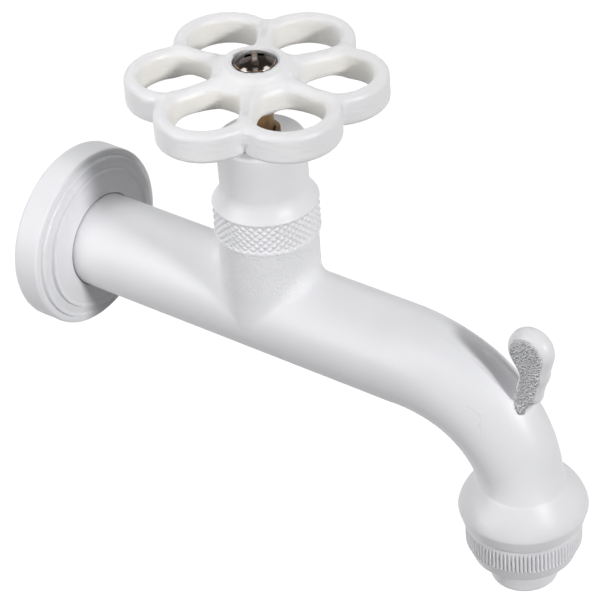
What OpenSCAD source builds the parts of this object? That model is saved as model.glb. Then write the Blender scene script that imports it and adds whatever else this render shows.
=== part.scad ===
// Garden tap with a flower handwheel, a wall rosette and a bucket hook on the spout.
// The origin is on the body's axis at the wall. +X leaves the wall, +Z is up.

/* [Body] */
// Outer diameter of the straight body
body_d = 28; // [27:0.5:30]
// Distance from the wall to the outlet's axis
reach = 157; // [145:1:200]
// Distance from the wall to the spindle's axis
boss_x = 74; // [60:1:78]
// Diameter of the boss that takes the headwork
boss_d = 28.4; // [28.2:0.1:30]
// Height of the boss face above the body's axis
boss_h = 26.6; // [26:0.2:34]
// Radius of the gentle first part of the bend
bend_r = 45; // [38:1:60]
// Angle of the gentle first part of the bend
bend_turn = 23; // [15:1:30]
// Radius of the tight second part of the bend
drop_r = 32; // [28:1:40]
// Outer diameter at the foot of the bend
foot_d = 22.8; // [21:0.2:25]
// Rise of the keel along the outside of the bend
keel_rise = 1.9; // [0.5:0.1:3]
// Diameter of the waterway in the straight body
water_d = 21; // [18:0.5:22]
// Diameter of the waterway in the spout
spout_water_d = 15; // [12:0.5:16]

/* [Inlet] */
// Diameter over the inlet's thread
inlet_d = 20.955; // [20:0.005:22]
// Length of the inlet's thread
inlet_len = 15; // [10:0.5:25]
// Diameter of the inlet's waterway
inlet_water_d = 14; // [10:0.5:15]
// Distance from the wall to the body's shoulder
shoulder_x = 2; // [1:0.5:4]

/* [Rosette] */
// Diameter of the wall rosette
rosette_d = 54; // [45:1:70]
// Depth of the rosette from the wall to its front
rosette_h = 11.4; // [9:0.2:16]
// Wall of the rosette
rosette_wall = 1.6; // [1.2:0.1:2.2]

/* [Hook] */
// Thickness of the bucket hook
hook_w = 6.4; // [5:0.2:8]
// Radius of the hook's head
hook_head_r = 6.4; // [5.4:0.2:8]
// Height of the hook's head above the body's axis
hook_head_z = 18.2; // [16:0.2:22]
// Width of the groove behind the hook
groove_w = 6.6; // [5:0.2:8]
// Depth of the groove beside the hook
groove_depth = 4.9; // [3:0.1:5.2]

/* [Outlet] */
// Greatest diameter of the bell over the outlet
bell_d = 36.1; // [34:0.1:40]
// Height of the bell from its neck to its lip
bell_h = 13.2; // [11:0.2:16]
// Diameter over the outlet's thread
outlet_d = 26.441; // [25:0.001:27]
// Pitch of the outlet's thread
outlet_pitch = 1.814; // [1:0.001:2]
// Turns that free the outlet nut
outlet_turns = 4; // [3:1:5]
// Diameter over the flutes of the outlet nut
outlet_nut_d = 32.4; // [31.6:0.1:34]
// Number of flutes round the outlet nut
flutes = 80; // [40:1:90]
// Outer diameter of the nozzle
nozzle_d = 18.8; // [17:0.2:20]
// Length of nozzle that shows below the nut
nozzle_len = 8.6; // [7.6:0.2:30]

/* [Headwork] */
// Diameter over the headwork's thread
headwork_d = 20.8; // [20:0.1:21]
// Width across the flats of the headwork's hexagon
headwork_af = 22; // [21:0.5:22]
// Diameter of the spindle's thread
spindle_thread_d = 12.4; // [11:0.1:13]
// Diameter of the spindle's stem
stem_d = 8; // [7:0.5:8.5]
// Lead of the spindle's thread
lead = 2.5; // [1.5:0.1:2.6]
// Turns from closed to fully open
open_turns = 2.5; // [1:0.5:2.5]
// Width across the flats of the gland nut
gland_af = 17; // [16.6:0.1:17.5]
// Diameter of the hole in the valve seat
seat_d = 11; // [9.5:0.5:11.5]
// Thickness of the rubber valve washer
washer_t = 3.2; // [2.5:0.1:4]

/* [Shroud] */
// Diameter of the shroud's knurled band
band_d = 30; // [29.5:0.1:34]
// Height of the knurled band
band_h = 9.8; // [9:0.2:12]
// Diameter of the shroud's neck
neck_d = 24.9; // [24.4:0.1:28]
// Height of the shroud
shroud_h = 29.4; // [29:0.2:31]

/* [Handwheel] */
// Height of the rim's underside above the body's axis
wheel_z = 67.4; // [66:0.2:80]
// Height of the rim
rim_h = 9.1; // [8:0.1:12]
// Wall of the rim
rim_wall = 3.7; // [3.4:0.1:4.6]
// Rounding of the rim's edges
rim_round = 1.6; // [0.6:0.1:1.6]
// Number of petals
petals = 6; // [5:1:7]
// Radius of the circle through the petals' centres
petal_ring_r = 21.8; // [21:0.2:26]
// Outer radius of a petal
petal_r = 14.2; // [13.8:0.1:15]
// Width of a spoke
spoke_w = 4.3; // [3:0.1:5]
// Rise of the hub over the rim's top
hub_rise = 3.8; // [3:0.1:6]
// Diameter of the hub's top
hub_d = 17; // [16:0.2:20]
// Width of the spindle's square
square_w = 5.6; // [4.9:0.1:5.8]
// Diameter of the handwheel screw's head
screw_head_d = 11.4; // [9:0.1:12]
// Diameter of the handwheel screw's thread
screw_d = 3.9; // [3:0.1:4.2]

/* [Fits] */
// Radial clearance of a plain stand-in for a thread
thread_fit = 0.05; // [0.02:0.01:0.1]
// Radial clearance of a shaft that turns or slides
run_fit = 0.05; // [0.02:0.01:0.1]
// Clearance of a piece that only drops in
loose_fit = 0.3; // [0.2:0.05:0.4]

/* [Hidden] */
$fn = 96;

// Overrun of every cut past the face that it leaves
over = 1;
body_r = body_d / 2;
boss_r = boss_d / 2;
foot_r = foot_d / 2;
water_r = water_d / 2;
spout_water_r = spout_water_d / 2;

// Course of the bend: a gentle arc, then a tight one that ends pointing down
bend_x = reach - bend_r * sin(bend_turn) - drop_r * (1 - sin(bend_turn));
bend_len = bend_r * bend_turn * PI / 180;
spine_len = bend_len + drop_r * (90 - bend_turn) * PI / 180;
drop_x = reach - drop_r;
foot_z = -bend_r + (bend_r - drop_r) * cos(bend_turn);
// Step that keeps the skin of the bend just inside the straight body
skin_step = 0.03;
skin_rings = 24;
skin_sides = 48;

// Boss: drawn in below so that it dies away inside the pipe
boss_root = 4;

// Waterway: length of the wide bore's start, of its cone, and the lap of the first arc
inlet_neck = 6;
water_cone = 8;
water_step = 0.3;
water_lap = 2;

// Seat and the walls that part the water below it from the water above it
seat_z = 3;
seat_lip = 1;
seat_lip_w = 2.2;
seat_wall = 1.4;
web = 3;
chamber_d = 19;
web_top = seat_z - seat_lip;
dam_in_x = boss_x - chamber_d / 2 - web;
dam_out_x = boss_x + seat_d / 2 + web;

// Groove along the outside of the bend, as shares of the bend's length
groove_start_share = 0.07;
groove_dip_share = 0.23;
groove_foot_share = 0.47;
groove_end_share = 0.53;
// Share of the depth that the gentle first fall takes, and of the rise out of the pocket
groove_fall_share = 0.2;
groove_rise_share = 0.6;
groove_steps = 24;

// Hook: how far its head and waist lie past the outlet's axis, and its waist below its head
hook_lean = 3.4;
waist_lean = 4.5;
waist_drop = 7.8;
hook_edge_r = hook_w / 2;
waist_share = 1.12;
knee_share = 0.2;
hook_root_share = 0.57;
hook_faces = 32;

// Bell, spigot and what hangs on it
bell_r = bell_d / 2;
bell_steps = 14;
// How far above its neck the bell's solid starts inside the bend
bell_root = 1.2;
lip_drop = 7.4;
lip_h = 3.2;
lip_in = 1.05;
lip_steps = 5;
bell_z = foot_z - lip_drop;
bell_wide_z = bell_z + lip_h;
bell_top = bell_z + bell_h;
spigot_r = outlet_d / 2 - thread_fit;
spigot_z = bell_z - outlet_pitch * outlet_turns;
nut_gap = 0.5;
nut_lip = 1.5;
outlet_washer_t = 2;
nozzle_flange_t = 1.5;
nozzle_top = spigot_z - outlet_washer_t;
nut_floor = nozzle_top - nozzle_flange_t;
nut_bottom = nut_floor - nut_lip;
nut_top = bell_z - nut_gap;
nozzle_bottom = nut_bottom - nozzle_len;
nozzle_r = nozzle_d / 2;
nozzle_flange_r = spigot_r - loose_fit;
nozzle_wall = 2.1;
nozzle_lip = 0.8;
nozzle_bore_r = nozzle_r - nozzle_wall;
// Relief turned in the nozzle where the nut's lip rides
nozzle_relief = 0.4;
nozzle_relief_h = nut_lip + 2 * loose_fit;

// Grip of the outlet nut, between a plain neck and a chamfered foot
flute_depth = 0.4;
nut_neck_h = 1.8;
nut_foot_h = 3.6;
nut_foot_in = 1.5;
nut_crest_r = outlet_nut_d / 2;
nut_root_r = nut_crest_r - flute_depth;
nut_grip_z = nut_bottom + nut_foot_h;
flute_shares = [0.1, 0.4, 0.6, 0.9];

// Insert of crossed vanes in the nozzle
former_h = 5;
former_vane = 0.7;
former_vanes = 3;

// Valve and headwork, stacked up from the seat
lift = lead * open_turns;
plate_z = seat_z + washer_t;
plate_t = 2;
plate_r = 8.6;
plate_skirt = 0.6;
valve_washer_r = plate_r - plate_skirt - run_fit;
stud_r = 1.9;
washer_nut_h = 2.2;
washer_nut_af = 7;
jumper_stem_r = 3.5;
jumper_stem_len = 12;
spindle_z = plate_z + plate_t;
headwork_z = spindle_z + lift + loose_fit;
gasket_t = 1.5;
gasket_wall = 1.4;
hex_h = 7;
cap_thread_h = 5.4;
barrel_d = 15.8;
box_d = 11.8;
neck_z = boss_h + hex_h;
thread_top = neck_z - lift - loose_fit;
stem_neck = 6;
box_z = neck_z + stem_neck;
packing_h = 6;
follower_h = 4;
lid_z = box_z + packing_h + follower_h;
barrel_top = lid_z - loose_fit;
gland_skirt = 7;
gland_lid = 2.5;
gland_neck_d = 11.2;
gland_neck_h = 6.5;

// Shroud
shroud_top = boss_h + shroud_h;
shroud_wall = 2.5;
shoulder_h = 5.6;
shoulder_steps = 8;
shroud_edge = 0.8;
cap_wall = 1.9;
cap_thread_r = neck_d / 2 - cap_wall;
hex_corner_r = headwork_af / 2 / cos(30);

// Rosette: place of the rim's corner and of both steps, as shares of radius and depth
rim_corner_share = 0.19;
rim_steps = 8;
step_shares = [[0.896, 0.76, 0.82], [0.77, 0.86, 0.93]];

// Handwheel
rim_top = wheel_z + rim_h;
hub_r = hub_d / 2;
hub_top = rim_top + hub_rise;
hub_drop = 1;
hub_bottom = wheel_z - hub_drop;
hub_web = 1.6;
// Outline of the hub: radius as a share of its top's, height as a share of what it spans
hub_foot_shares = [0.82, 0.90];
hub_belly_shares = [[1.16, 0.35], [1.24, 0.75]];
hub_dome_shares = [[1.18, 0.35], [1.08, 0.74], [0.97, 0.94], [0.88, 1]];
spoke_half = spoke_w / 2;
recess_h = 2.1;
recess_r = 6.7;
recess_z = hub_top - recess_h;
socket_top = recess_z - hub_web;
socket_w = square_w + 2 * run_fit;
notch_r = petal_ring_r * cos(180 / petals)
    + sqrt(pow(petal_r, 2) - pow(petal_ring_r * sin(180 / petals), 2));

// Handwheel screw and its washer
screw_washer_t = 0.8;
screw_len = 15;
screw_head_r = screw_head_d / 2;
head_z = recess_z + screw_washer_t;
head_rim = 0.6;
head_rise = 2.2;
head_ball_r = (pow(screw_head_r, 2) + pow(head_rise, 2)) / (2 * head_rise);
slot_w = 1.3;
slot_depth = 1.65;

paint = [0.93, 0.93, 0.94];
brass = [0.80, 0.64, 0.32];
rubber = [0.13, 0.13, 0.14];
fibre = [0.55, 0.22, 0.16];
packing = [0.85, 0.84, 0.80];
chrome = [0.78, 0.78, 0.80];

// Turns what points up to point along +X
module along_x() {
    rotate([0, 90, 0]) children();
}

module at_boss(z = 0) {
    translate([boss_x, 0, z]) children();
}

module at_outlet(z = 0) {
    translate([reach, 0, z]) children();
}

// Round bar with a bore right through it
module ring(h, r, bore) {
    difference() {
        cylinder(h = h, r = r);
        translate([0, 0, -over]) cylinder(h = h + 2 * over, r = bore);
    }
}

module hexagon(af, h) {
    cylinder(h = h, r = af / 2 / cos(30), $fn = 6);
}

function smooth_share(u) = let (v = min(1, max(0, u))) v * v * (3 - 2 * v);
function along_share(s) = min(1, max(0, s / spine_len));

// Angle and place of the bend's section at a distance along its course
function turn_at(s) =
    s < bend_len ? max(0, s) / bend_r * 180 / PI
        : bend_turn + (s - bend_len) / drop_r * 180 / PI;
function spine_at(s) =
    s < 0 ? [bend_x + s, 0]
    : s < bend_len ? [bend_x + bend_r * sin(turn_at(s)), -bend_r + bend_r * cos(turn_at(s))]
    : [drop_x + drop_r * sin(turn_at(s)), foot_z + drop_r * cos(turn_at(s))];

// Radius of the section: a steady taper, and a keel that swells and dies on the outside
function keel_at(s) = keel_rise * pow(sin(180 * along_share(s)), 2);
function skin_at(s, a) =
    body_r - skin_step + (foot_r - body_r) * along_share(s)
        + keel_at(s) * pow(max(0, cos(a)), 4);
function skin_point(s, a) =
    let (c = spine_at(s), t = turn_at(s), r = skin_at(s, a))
    [c[0] + r * cos(a) * sin(t), r * sin(a), c[1] + r * cos(a) * cos(t)];

// Skin of the bend: one section after another along the course
module bend_skin() {
    n = skin_sides;
    step = (spine_len + over) / skin_rings;
    points = [
        for (i = [0 : skin_rings], j = [0 : n - 1])
            skin_point(i * step - over, j * 360 / n)
    ];
    walls = [
        for (i = [0 : skin_rings - 1], j = [0 : n - 1], half = [0, 1])
            let (a = i * n + j, b = i * n + (j + 1) % n)
            half == 0 ? [a, b, b + n] : [a, b + n, a + n]
    ];
    first = [for (j = [n - 1 : -1 : 0]) j];
    last = [for (j = [0 : n - 1]) skin_rings * n + j];
    polyhedron(points, concat(walls, [first, last]), convexity = 6);
}

// Depth of the groove's floor: a gentle fall, a smooth dip, then a round rise to the hook
function pocket_rise(u) =
    u < groove_foot_share ? 0
        : 1 - sqrt(max(0, 1 - pow((u - groove_foot_share) / (groove_end_share - groove_foot_share), 2)));
function floor_at(u) =
    let (
        fall = min(1, max(0, (u - groove_start_share) / (groove_dip_share - groove_start_share))),
        dip = smooth_share((u - groove_dip_share) / (groove_foot_share - groove_dip_share))
    )
    groove_depth * (
        groove_fall_share * fall
        + (1 - groove_fall_share) * dip
        - groove_rise_share * pocket_rise(u)
    );
function groove_point(u, clear) =
    let (
        s = u * spine_len,
        c = spine_at(s),
        t = turn_at(s),
        r = skin_at(s, 0) - floor_at(u) + clear
    )
    [c[0] + r * sin(t), c[1] + r * cos(t)];

module groove() {
    span = groove_end_share - groove_start_share;
    bottom = [
        for (i = [0 : groove_steps])
            groove_point(groove_start_share + span * i / groove_steps, 0)
    ];
    above = [
        for (i = [groove_steps : -1 : 0])
            groove_point(groove_start_share + span * i / groove_steps, 2 * groove_depth)
    ];
    rotate([90, 0, 0])
        translate([0, 0, -groove_w / 2])
            linear_extrude(groove_w) polygon(concat(bottom, above));
}

// Disc with fully round edges, lying in the plane of the bend
module hook_disc(place, r) {
    core = r - hook_edge_r;
    translate([place[0], 0, place[1]])
        rotate([90, 0, 0])
            rotate_extrude($fn = hook_faces) {
                translate([0, -hook_edge_r]) square([core, hook_w]);
                intersection() {
                    translate([core, 0]) circle(r = hook_edge_r, $fn = hook_faces);
                    translate([0, -hook_w]) square([r + hook_w, 2 * hook_w]);
                }
            }
}

module hook_limb(from, from_r, to, to_r) {
    hull() {
        hook_disc(from, from_r);
        hook_disc(to, to_r);
    }
}

// Hook: a round head that leans back over the groove, on a neck that grows from the keel
module hook() {
    waist_r = waist_share * hook_edge_r;
    root_s = hook_root_share * spine_len;
    root_c = spine_at(root_s);
    root_out = skin_at(root_s, 0) - waist_r;
    head = [reach + hook_lean, hook_head_z];
    waist = [reach + waist_lean, hook_head_z - waist_drop];
    root = [root_c[0] + root_out * sin(turn_at(root_s)), root_c[1] + root_out * cos(turn_at(root_s))];
    knee = (waist + root) / 2 + [knee_share * hook_edge_r, 0];
    hook_limb(head, hook_head_r, waist, waist_r);
    hook_limb(waist, waist_r, knee, waist_r);
    hook_limb(knee, waist_r, root, waist_r);
}

// Bell: swells from the foot of the bend as a quarter sine, then tucks in to its lip
module bell() {
    swell = [
        for (i = [0 : bell_steps])
            let (u = i / bell_steps)
            [foot_r + (bell_r - foot_r) * sin(90 * u), bell_top + (bell_wide_z - bell_top) * u]
    ];
    tuck = [
        for (i = [1 : lip_steps])
            let (u = i / lip_steps)
            [bell_r - lip_in * pow(u, 2), bell_wide_z - lip_h * u]
    ];
    root = [[0, bell_top + bell_root], [foot_r - bell_root, bell_top + bell_root]];
    at_outlet() rotate_extrude() polygon(concat(root, swell, tuck, [[0, bell_z]]));
    at_outlet(spigot_z) cylinder(h = bell_z - spigot_z + over, r = spigot_r);
}

// Boss for the headwork
module boss() {
    at_boss()
        rotate_extrude()
            polygon([
                [0, -boss_root],
                [body_r - boss_root / 2, -boss_root],
                [boss_r, 0],
                [boss_r, boss_h],
                [0, boss_h]
            ]);
}

// Water: in under the seat, up through it, over the dam and round the bend
module waterway() {
    translate([shoulder_x - inlet_len - over, 0, 0])
        along_x() cylinder(h = inlet_len + inlet_neck + 2 * over, d = inlet_water_d);
    translate([shoulder_x + inlet_neck, 0, 0])
        along_x() cylinder(h = dam_in_x - shoulder_x - inlet_neck, r = water_r);
    intersection() {
        translate([dam_in_x - over, 0, 0])
            along_x() cylinder(h = dam_out_x - dam_in_x + over, r = water_r);
        translate([dam_in_x - 2 * over, -body_d, -body_d])
            cube([body_d + chamber_d, 2 * body_d, body_d + web_top - web]);
    }
    intersection() {
        translate([boss_x, 0, 0])
            along_x() cylinder(h = dam_out_x + web - boss_x + over, r = water_r);
        translate([boss_x, -body_d, web_top])
            cube([body_d, 2 * body_d, body_d]);
    }
    translate([dam_out_x + web, 0, 0])
        along_x() cylinder(h = bend_x - water_cone - dam_out_x - web, r = water_r);
    translate([bend_x - water_cone, 0, 0])
        along_x() cylinder(h = water_cone, r1 = water_r, r2 = spout_water_r + water_step);
    translate([bend_x, 0, -bend_r])
        rotate([90, 0, 0])
            rotate([0, 0, 90 - bend_turn])
                rotate_extrude(angle = bend_turn + water_lap)
                    translate([bend_r, 0]) circle(r = spout_water_r);
    translate([drop_x, 0, foot_z])
        rotate([90, 0, 0])
            rotate_extrude(angle = 90 - bend_turn)
                translate([drop_r, 0]) circle(r = spout_water_r);
    at_outlet(spigot_z - over) cylinder(h = foot_z - spigot_z + over, r = spout_water_r);
}

// Threaded hole for the seat, the chamber over it and the threaded hole for the headwork
module valve_chamber() {
    at_boss(web_top - web - over)
        cylinder(h = web + 2 * over, r = seat_d / 2 + seat_wall + thread_fit);
    at_boss(web_top) cylinder(h = boss_h - web_top, d = chamber_d);
    at_boss(headwork_z - over)
        cylinder(h = boss_h - headwork_z + 2 * over, r = headwork_d / 2 + thread_fit);
    at_boss(boss_h - gasket_t) cylinder(h = gasket_t + over, r = boss_r - gasket_wall);
}

module tap_body() {
    color(paint)
        difference() {
            union() {
                translate([shoulder_x - inlet_len, 0, 0])
                    along_x() cylinder(h = inlet_len + over, d = inlet_d);
                translate([shoulder_x, 0, 0]) along_x() cylinder(h = bend_x - shoulder_x, r = body_r);
                boss();
                difference() {
                    bend_skin();
                    groove();
                }
                hook();
                bell();
            }
            waterway();
            valve_chamber();
        }
}

// Renewable seat: a screwed ring with a lip that rests on the web
module valve_seat() {
    color(brass)
        at_boss(web_top - web)
            difference() {
                union() {
                    cylinder(h = web + seat_lip, r = seat_d / 2 + seat_wall);
                    translate([0, 0, web]) cylinder(h = seat_lip, r = seat_d / 2 + seat_lip_w);
                }
                translate([0, 0, -over]) cylinder(h = web + seat_lip + 2 * over, d = seat_d);
            }
}

// Rosette: a turned cup with two steps
module rosette_profile(inset) {
    r = rosette_d / 2;
    hole = body_r + loose_fit;
    outer = r - inset;
    corner = rim_corner_share * rosette_h;
    corner_z = rosette_h * step_shares[0][1] - inset - corner;
    rim = [
        for (i = [0 : rim_steps])
            let (a = 90 * i / rim_steps)
            [outer - corner * (1 - cos(a)), corner_z + corner * sin(a)]
    ];
    steps = [
        for (s = step_shares, side = [1, 2])
            [r * s[0] - inset, rosette_h * s[side] - inset]
    ];
    polygon(concat([[hole, 0], [outer, 0]], rim, steps, [[hole, rosette_h - inset]]));
}

// Hollow behind the rosette's face, which leaves a collar round the body
module rosette_hollow() {
    difference() {
        rosette_profile(rosette_wall);
        square([body_r + loose_fit + 2 * rosette_wall, rosette_h]);
    }
}

module wall_rosette() {
    color(paint)
        along_x()
            rotate_extrude()
                difference() {
                    rosette_profile(0);
                    translate([0, -rosette_wall]) rosette_hollow();
                }
}

module bonnet_gasket() {
    color(fibre)
        at_boss(boss_h - gasket_t)
            ring(gasket_t, boss_r - gasket_wall - run_fit, headwork_d / 2 + run_fit);
}

module headwork_body() {
    color(brass)
        at_boss()
            difference() {
                union() {
                    translate([0, 0, headwork_z]) cylinder(h = boss_h - headwork_z + over, d = headwork_d);
                    translate([0, 0, boss_h]) hexagon(headwork_af, hex_h);
                    translate([0, 0, neck_z]) cylinder(h = cap_thread_h, r = cap_thread_r - thread_fit);
                    translate([0, 0, neck_z]) cylinder(h = barrel_top - neck_z, d = barrel_d);
                }
                translate([0, 0, headwork_z - over])
                    cylinder(h = neck_z - headwork_z + over, r = spindle_thread_d / 2 + run_fit);
                translate([0, 0, neck_z - over]) cylinder(h = stem_neck + 2 * over, r = stem_d / 2 + run_fit);
                translate([0, 0, box_z]) cylinder(h = barrel_top - box_z + over, d = box_d);
            }
}

module stem_packing() {
    color(packing) at_boss(box_z) ring(packing_h, box_d / 2 - run_fit, stem_d / 2 + run_fit);
}

module packing_follower() {
    color(brass)
        at_boss(box_z + packing_h) ring(follower_h, box_d / 2 - run_fit, stem_d / 2 + run_fit);
}

module gland_nut() {
    color(brass)
        at_boss()
            difference() {
                union() {
                    translate([0, 0, lid_z - gland_skirt]) hexagon(gland_af, gland_skirt + gland_lid);
                    translate([0, 0, lid_z]) cylinder(h = gland_lid + gland_neck_h, d = gland_neck_d);
                }
                translate([0, 0, lid_z - gland_skirt - over])
                    cylinder(h = gland_skirt + over, r = barrel_d / 2 + thread_fit);
                translate([0, 0, lid_z - over])
                    cylinder(h = gland_lid + gland_neck_h + 2 * over, r = stem_d / 2 + loose_fit);
            }
}

// Shroud: knurled band, hollow-curved shoulder and plain neck over the headwork
module shroud() {
    band_r = band_d / 2;
    neck_r = neck_d / 2;
    band_top = boss_h + band_h;
    slope_z = band_top + shroud_edge;
    slope = [
        for (i = [0 : shoulder_steps])
            let (u = i / shoulder_steps)
            [
                neck_r + (band_r - shroud_edge - neck_r) * pow(1 - u, 2),
                slope_z + (shoulder_h - shroud_edge) * u
            ]
    ];
    band = [[0, boss_h], [band_r, boss_h], [band_r, band_top], [band_r - shroud_edge, slope_z]];
    top = [[neck_r, shroud_top - shroud_edge], [neck_r - shroud_edge, shroud_top], [0, shroud_top]];
    color(paint)
        at_boss()
            rotate_extrude()
                difference() {
                    polygon(concat(band, slope, top));
                    translate([0, boss_h - over])
                        square([hex_corner_r + loose_fit, hex_h + shroud_edge + over]);
                    translate([0, boss_h]) square([cap_thread_r, shroud_h - shroud_wall]);
                    translate([0, boss_h]) square([gland_neck_d / 2 + loose_fit, shroud_h + over]);
                }
}

module spindle() {
    color(brass)
        at_boss()
            difference() {
                union() {
                    translate([0, 0, spindle_z]) cylinder(h = thread_top - spindle_z, d = spindle_thread_d);
                    translate([0, 0, spindle_z]) cylinder(h = hub_bottom - spindle_z, d = stem_d);
                    translate([-square_w / 2, -square_w / 2, hub_bottom - over])
                        cube([square_w, square_w, socket_top - loose_fit - hub_bottom + over]);
                }
                translate([0, 0, spindle_z - over])
                    cylinder(h = jumper_stem_len + 2 * over, r = jumper_stem_r + run_fit);
                translate([0, 0, head_z - screw_len - over])
                    cylinder(h = screw_len + over, r = screw_d / 2 + thread_fit);
            }
}

// Jumper valve: a plate with a skirt round the washer, a stem above and a stud below
module jumper_valve() {
    color(brass)
        at_boss() {
            translate([0, 0, plate_z]) cylinder(h = plate_t, r = plate_r);
            translate([0, 0, plate_z - washer_t / 2])
                ring(washer_t / 2 + plate_t / 2, plate_r, plate_r - plate_skirt);
            translate([0, 0, plate_z]) cylinder(h = plate_t + jumper_stem_len, r = jumper_stem_r);
            translate([0, 0, seat_z - washer_nut_h - loose_fit])
                cylinder(h = washer_t + washer_nut_h + plate_t, r = stud_r);
        }
}

module valve_washer() {
    color(rubber) at_boss(seat_z) ring(washer_t, valve_washer_r, stud_r + run_fit);
}

module washer_nut() {
    color(brass)
        at_boss(seat_z - washer_nut_h)
            difference() {
                hexagon(washer_nut_af, washer_nut_h);
                translate([0, 0, -over]) cylinder(h = washer_nut_h + 2 * over, r = stud_r + thread_fit);
            }
}

// Round-edged disc that makes the outside of one loop of the flower
module petal() {
    translate([petal_ring_r, 0, wheel_z])
        rotate_extrude() {
            square([petal_r - rim_round, rim_h]);
            translate([0, rim_round]) square([petal_r, rim_h - 2 * rim_round]);
            for (z = [rim_round, rim_h - rim_round])
                translate([petal_r - rim_round, z]) circle(r = rim_round);
        }
}

// Round opening of one loop, flared so that the rim's inner edges come out round
module petal_opening() {
    inner = petal_r - rim_wall;
    translate([petal_ring_r, 0, wheel_z])
        rotate_extrude()
            difference() {
                translate([0, -over]) square([inner + rim_round, rim_h + 2 * over]);
                translate([inner, rim_round]) square([rim_wall, rim_h - 2 * rim_round]);
                for (z = [rim_round, rim_h - rim_round])
                    translate([inner + rim_round, z]) circle(r = rim_round);
            }
}

// Spoke: a round-topped bar that falls from the hub to the notch between two loops
module spoke() {
    out = notch_r - spoke_half;
    top_in = hub_top - recess_h;
    top_out = rim_top - rim_round / 2;
    rake = atan((top_in - top_out) / out);
    intersection() {
        translate([0, 0, top_in])
            rotate([0, rake, 0])
                rotate([90, 0, 90])
                    linear_extrude(out / cos(rake)) {
                        translate([0, -spoke_half]) circle(r = spoke_half);
                        translate([-spoke_half, -spoke_half - 2 * rim_h]) square([spoke_w, 2 * rim_h]);
                    }
        translate([-out, -spoke_w, wheel_z + rim_round / 2])
            cube([3 * out, 2 * spoke_w, 2 * rim_h]);
    }
}

// Hub: a low boss below and a domed shoulder above
module hub() {
    foot = [
        [0, hub_bottom],
        [hub_foot_shares[0] * hub_r, hub_bottom],
        [hub_foot_shares[1] * hub_r, wheel_z]
    ];
    belly = [for (s = hub_belly_shares) [s[0] * hub_r, wheel_z + s[1] * rim_h]];
    dome = [for (s = hub_dome_shares) [s[0] * hub_r, rim_top + s[1] * hub_rise]];
    rotate_extrude() polygon(concat(foot, belly, dome, [[0, hub_top]]));
}

// Handwheel: loops, spokes and hub, less the screw's recess and the spindle's socket
module handwheel() {
    turn = 360 / petals;
    color(paint)
        at_boss()
            difference() {
                union() {
                    difference() {
                        for (i = [0 : petals - 1]) rotate([0, 0, turn * (i + 1 / 2)]) petal();
                        for (i = [0 : petals - 1]) rotate([0, 0, turn * (i + 1 / 2)]) petal_opening();
                    }
                    for (i = [0 : petals - 1]) rotate([0, 0, turn * i]) spoke();
                    hub();
                }
                translate([0, 0, recess_z]) cylinder(h = recess_h + over, r = recess_r);
                translate([-socket_w / 2, -socket_w / 2, hub_bottom - over])
                    cube([socket_w, socket_w, socket_top - hub_bottom + over]);
                translate([0, 0, socket_top - over])
                    cylinder(h = hub_web + 2 * over, r = screw_d / 2 + loose_fit);
            }
}

module screw_washer() {
    color(chrome)
        at_boss(recess_z) ring(screw_washer_t, screw_head_r - loose_fit, screw_d / 2 + loose_fit);
}

// Handwheel screw: a slotted dome over a plain shank
module handwheel_screw() {
    color(chrome)
        at_boss(head_z)
            difference() {
                union() {
                    cylinder(h = head_rim, r = screw_head_r);
                    intersection() {
                        translate([0, 0, head_rim + head_rise - head_ball_r]) sphere(r = head_ball_r);
                        cylinder(h = head_rim + head_rise + over, r = screw_head_r);
                    }
                    translate([0, 0, -screw_len]) cylinder(h = screw_len + head_rim, d = screw_d);
                }
                translate([-screw_head_d, -slot_w / 2, head_rim + head_rise - slot_depth])
                    cube([2 * screw_head_d, slot_w, head_rise]);
            }
}

// Outlet nut: a fluted grip between a plain neck and a chamfered foot
module outlet_nut() {
    grip = [
        for (i = [0 : flutes - 1], k = [0 : 3])
            let (
                a = 360 / flutes * (i + flute_shares[k]),
                r = k == 1 || k == 2 ? nut_crest_r : nut_root_r
            )
            [r * cos(a), r * sin(a)]
    ];
    color(paint)
        at_outlet()
            difference() {
                union() {
                    translate([0, 0, nut_grip_z]) cylinder(h = nut_top - nut_grip_z, r = nut_root_r);
                    translate([0, 0, nut_grip_z])
                        linear_extrude(nut_top - nut_neck_h - nut_grip_z) polygon(grip);
                    translate([0, 0, nut_bottom])
                        cylinder(h = nut_foot_h, r1 = nut_root_r - nut_foot_in, r2 = nut_root_r);
                }
                translate([0, 0, nut_floor]) cylinder(h = nut_top - nut_floor + over, r = outlet_d / 2);
                translate([0, 0, nut_bottom - over])
                    cylinder(h = nut_lip + 2 * over, r = nozzle_r + loose_fit);
            }
}

module outlet_nozzle() {
    color(paint)
        at_outlet()
            difference() {
                union() {
                    translate([0, 0, nut_floor]) cylinder(h = nozzle_flange_t, r = nozzle_flange_r);
                    translate([0, 0, nozzle_bottom])
                        cylinder(h = nut_floor - nozzle_relief_h - nozzle_bottom, r = nozzle_r);
                    translate([0, 0, nozzle_bottom])
                        cylinder(h = nut_floor - nozzle_bottom, r = nozzle_r - nozzle_relief);
                }
                translate([0, 0, nozzle_bottom + nozzle_lip])
                    cylinder(h = nozzle_top - nozzle_bottom, r = nozzle_bore_r);
                translate([0, 0, nozzle_bottom - over])
                    cylinder(h = nozzle_lip + 2 * over, r = nozzle_bore_r - nozzle_lip);
            }
}

module outlet_washer() {
    color(rubber)
        at_outlet(nozzle_top) ring(outlet_washer_t, nozzle_flange_r, spout_water_r + nozzle_lip);
}

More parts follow.
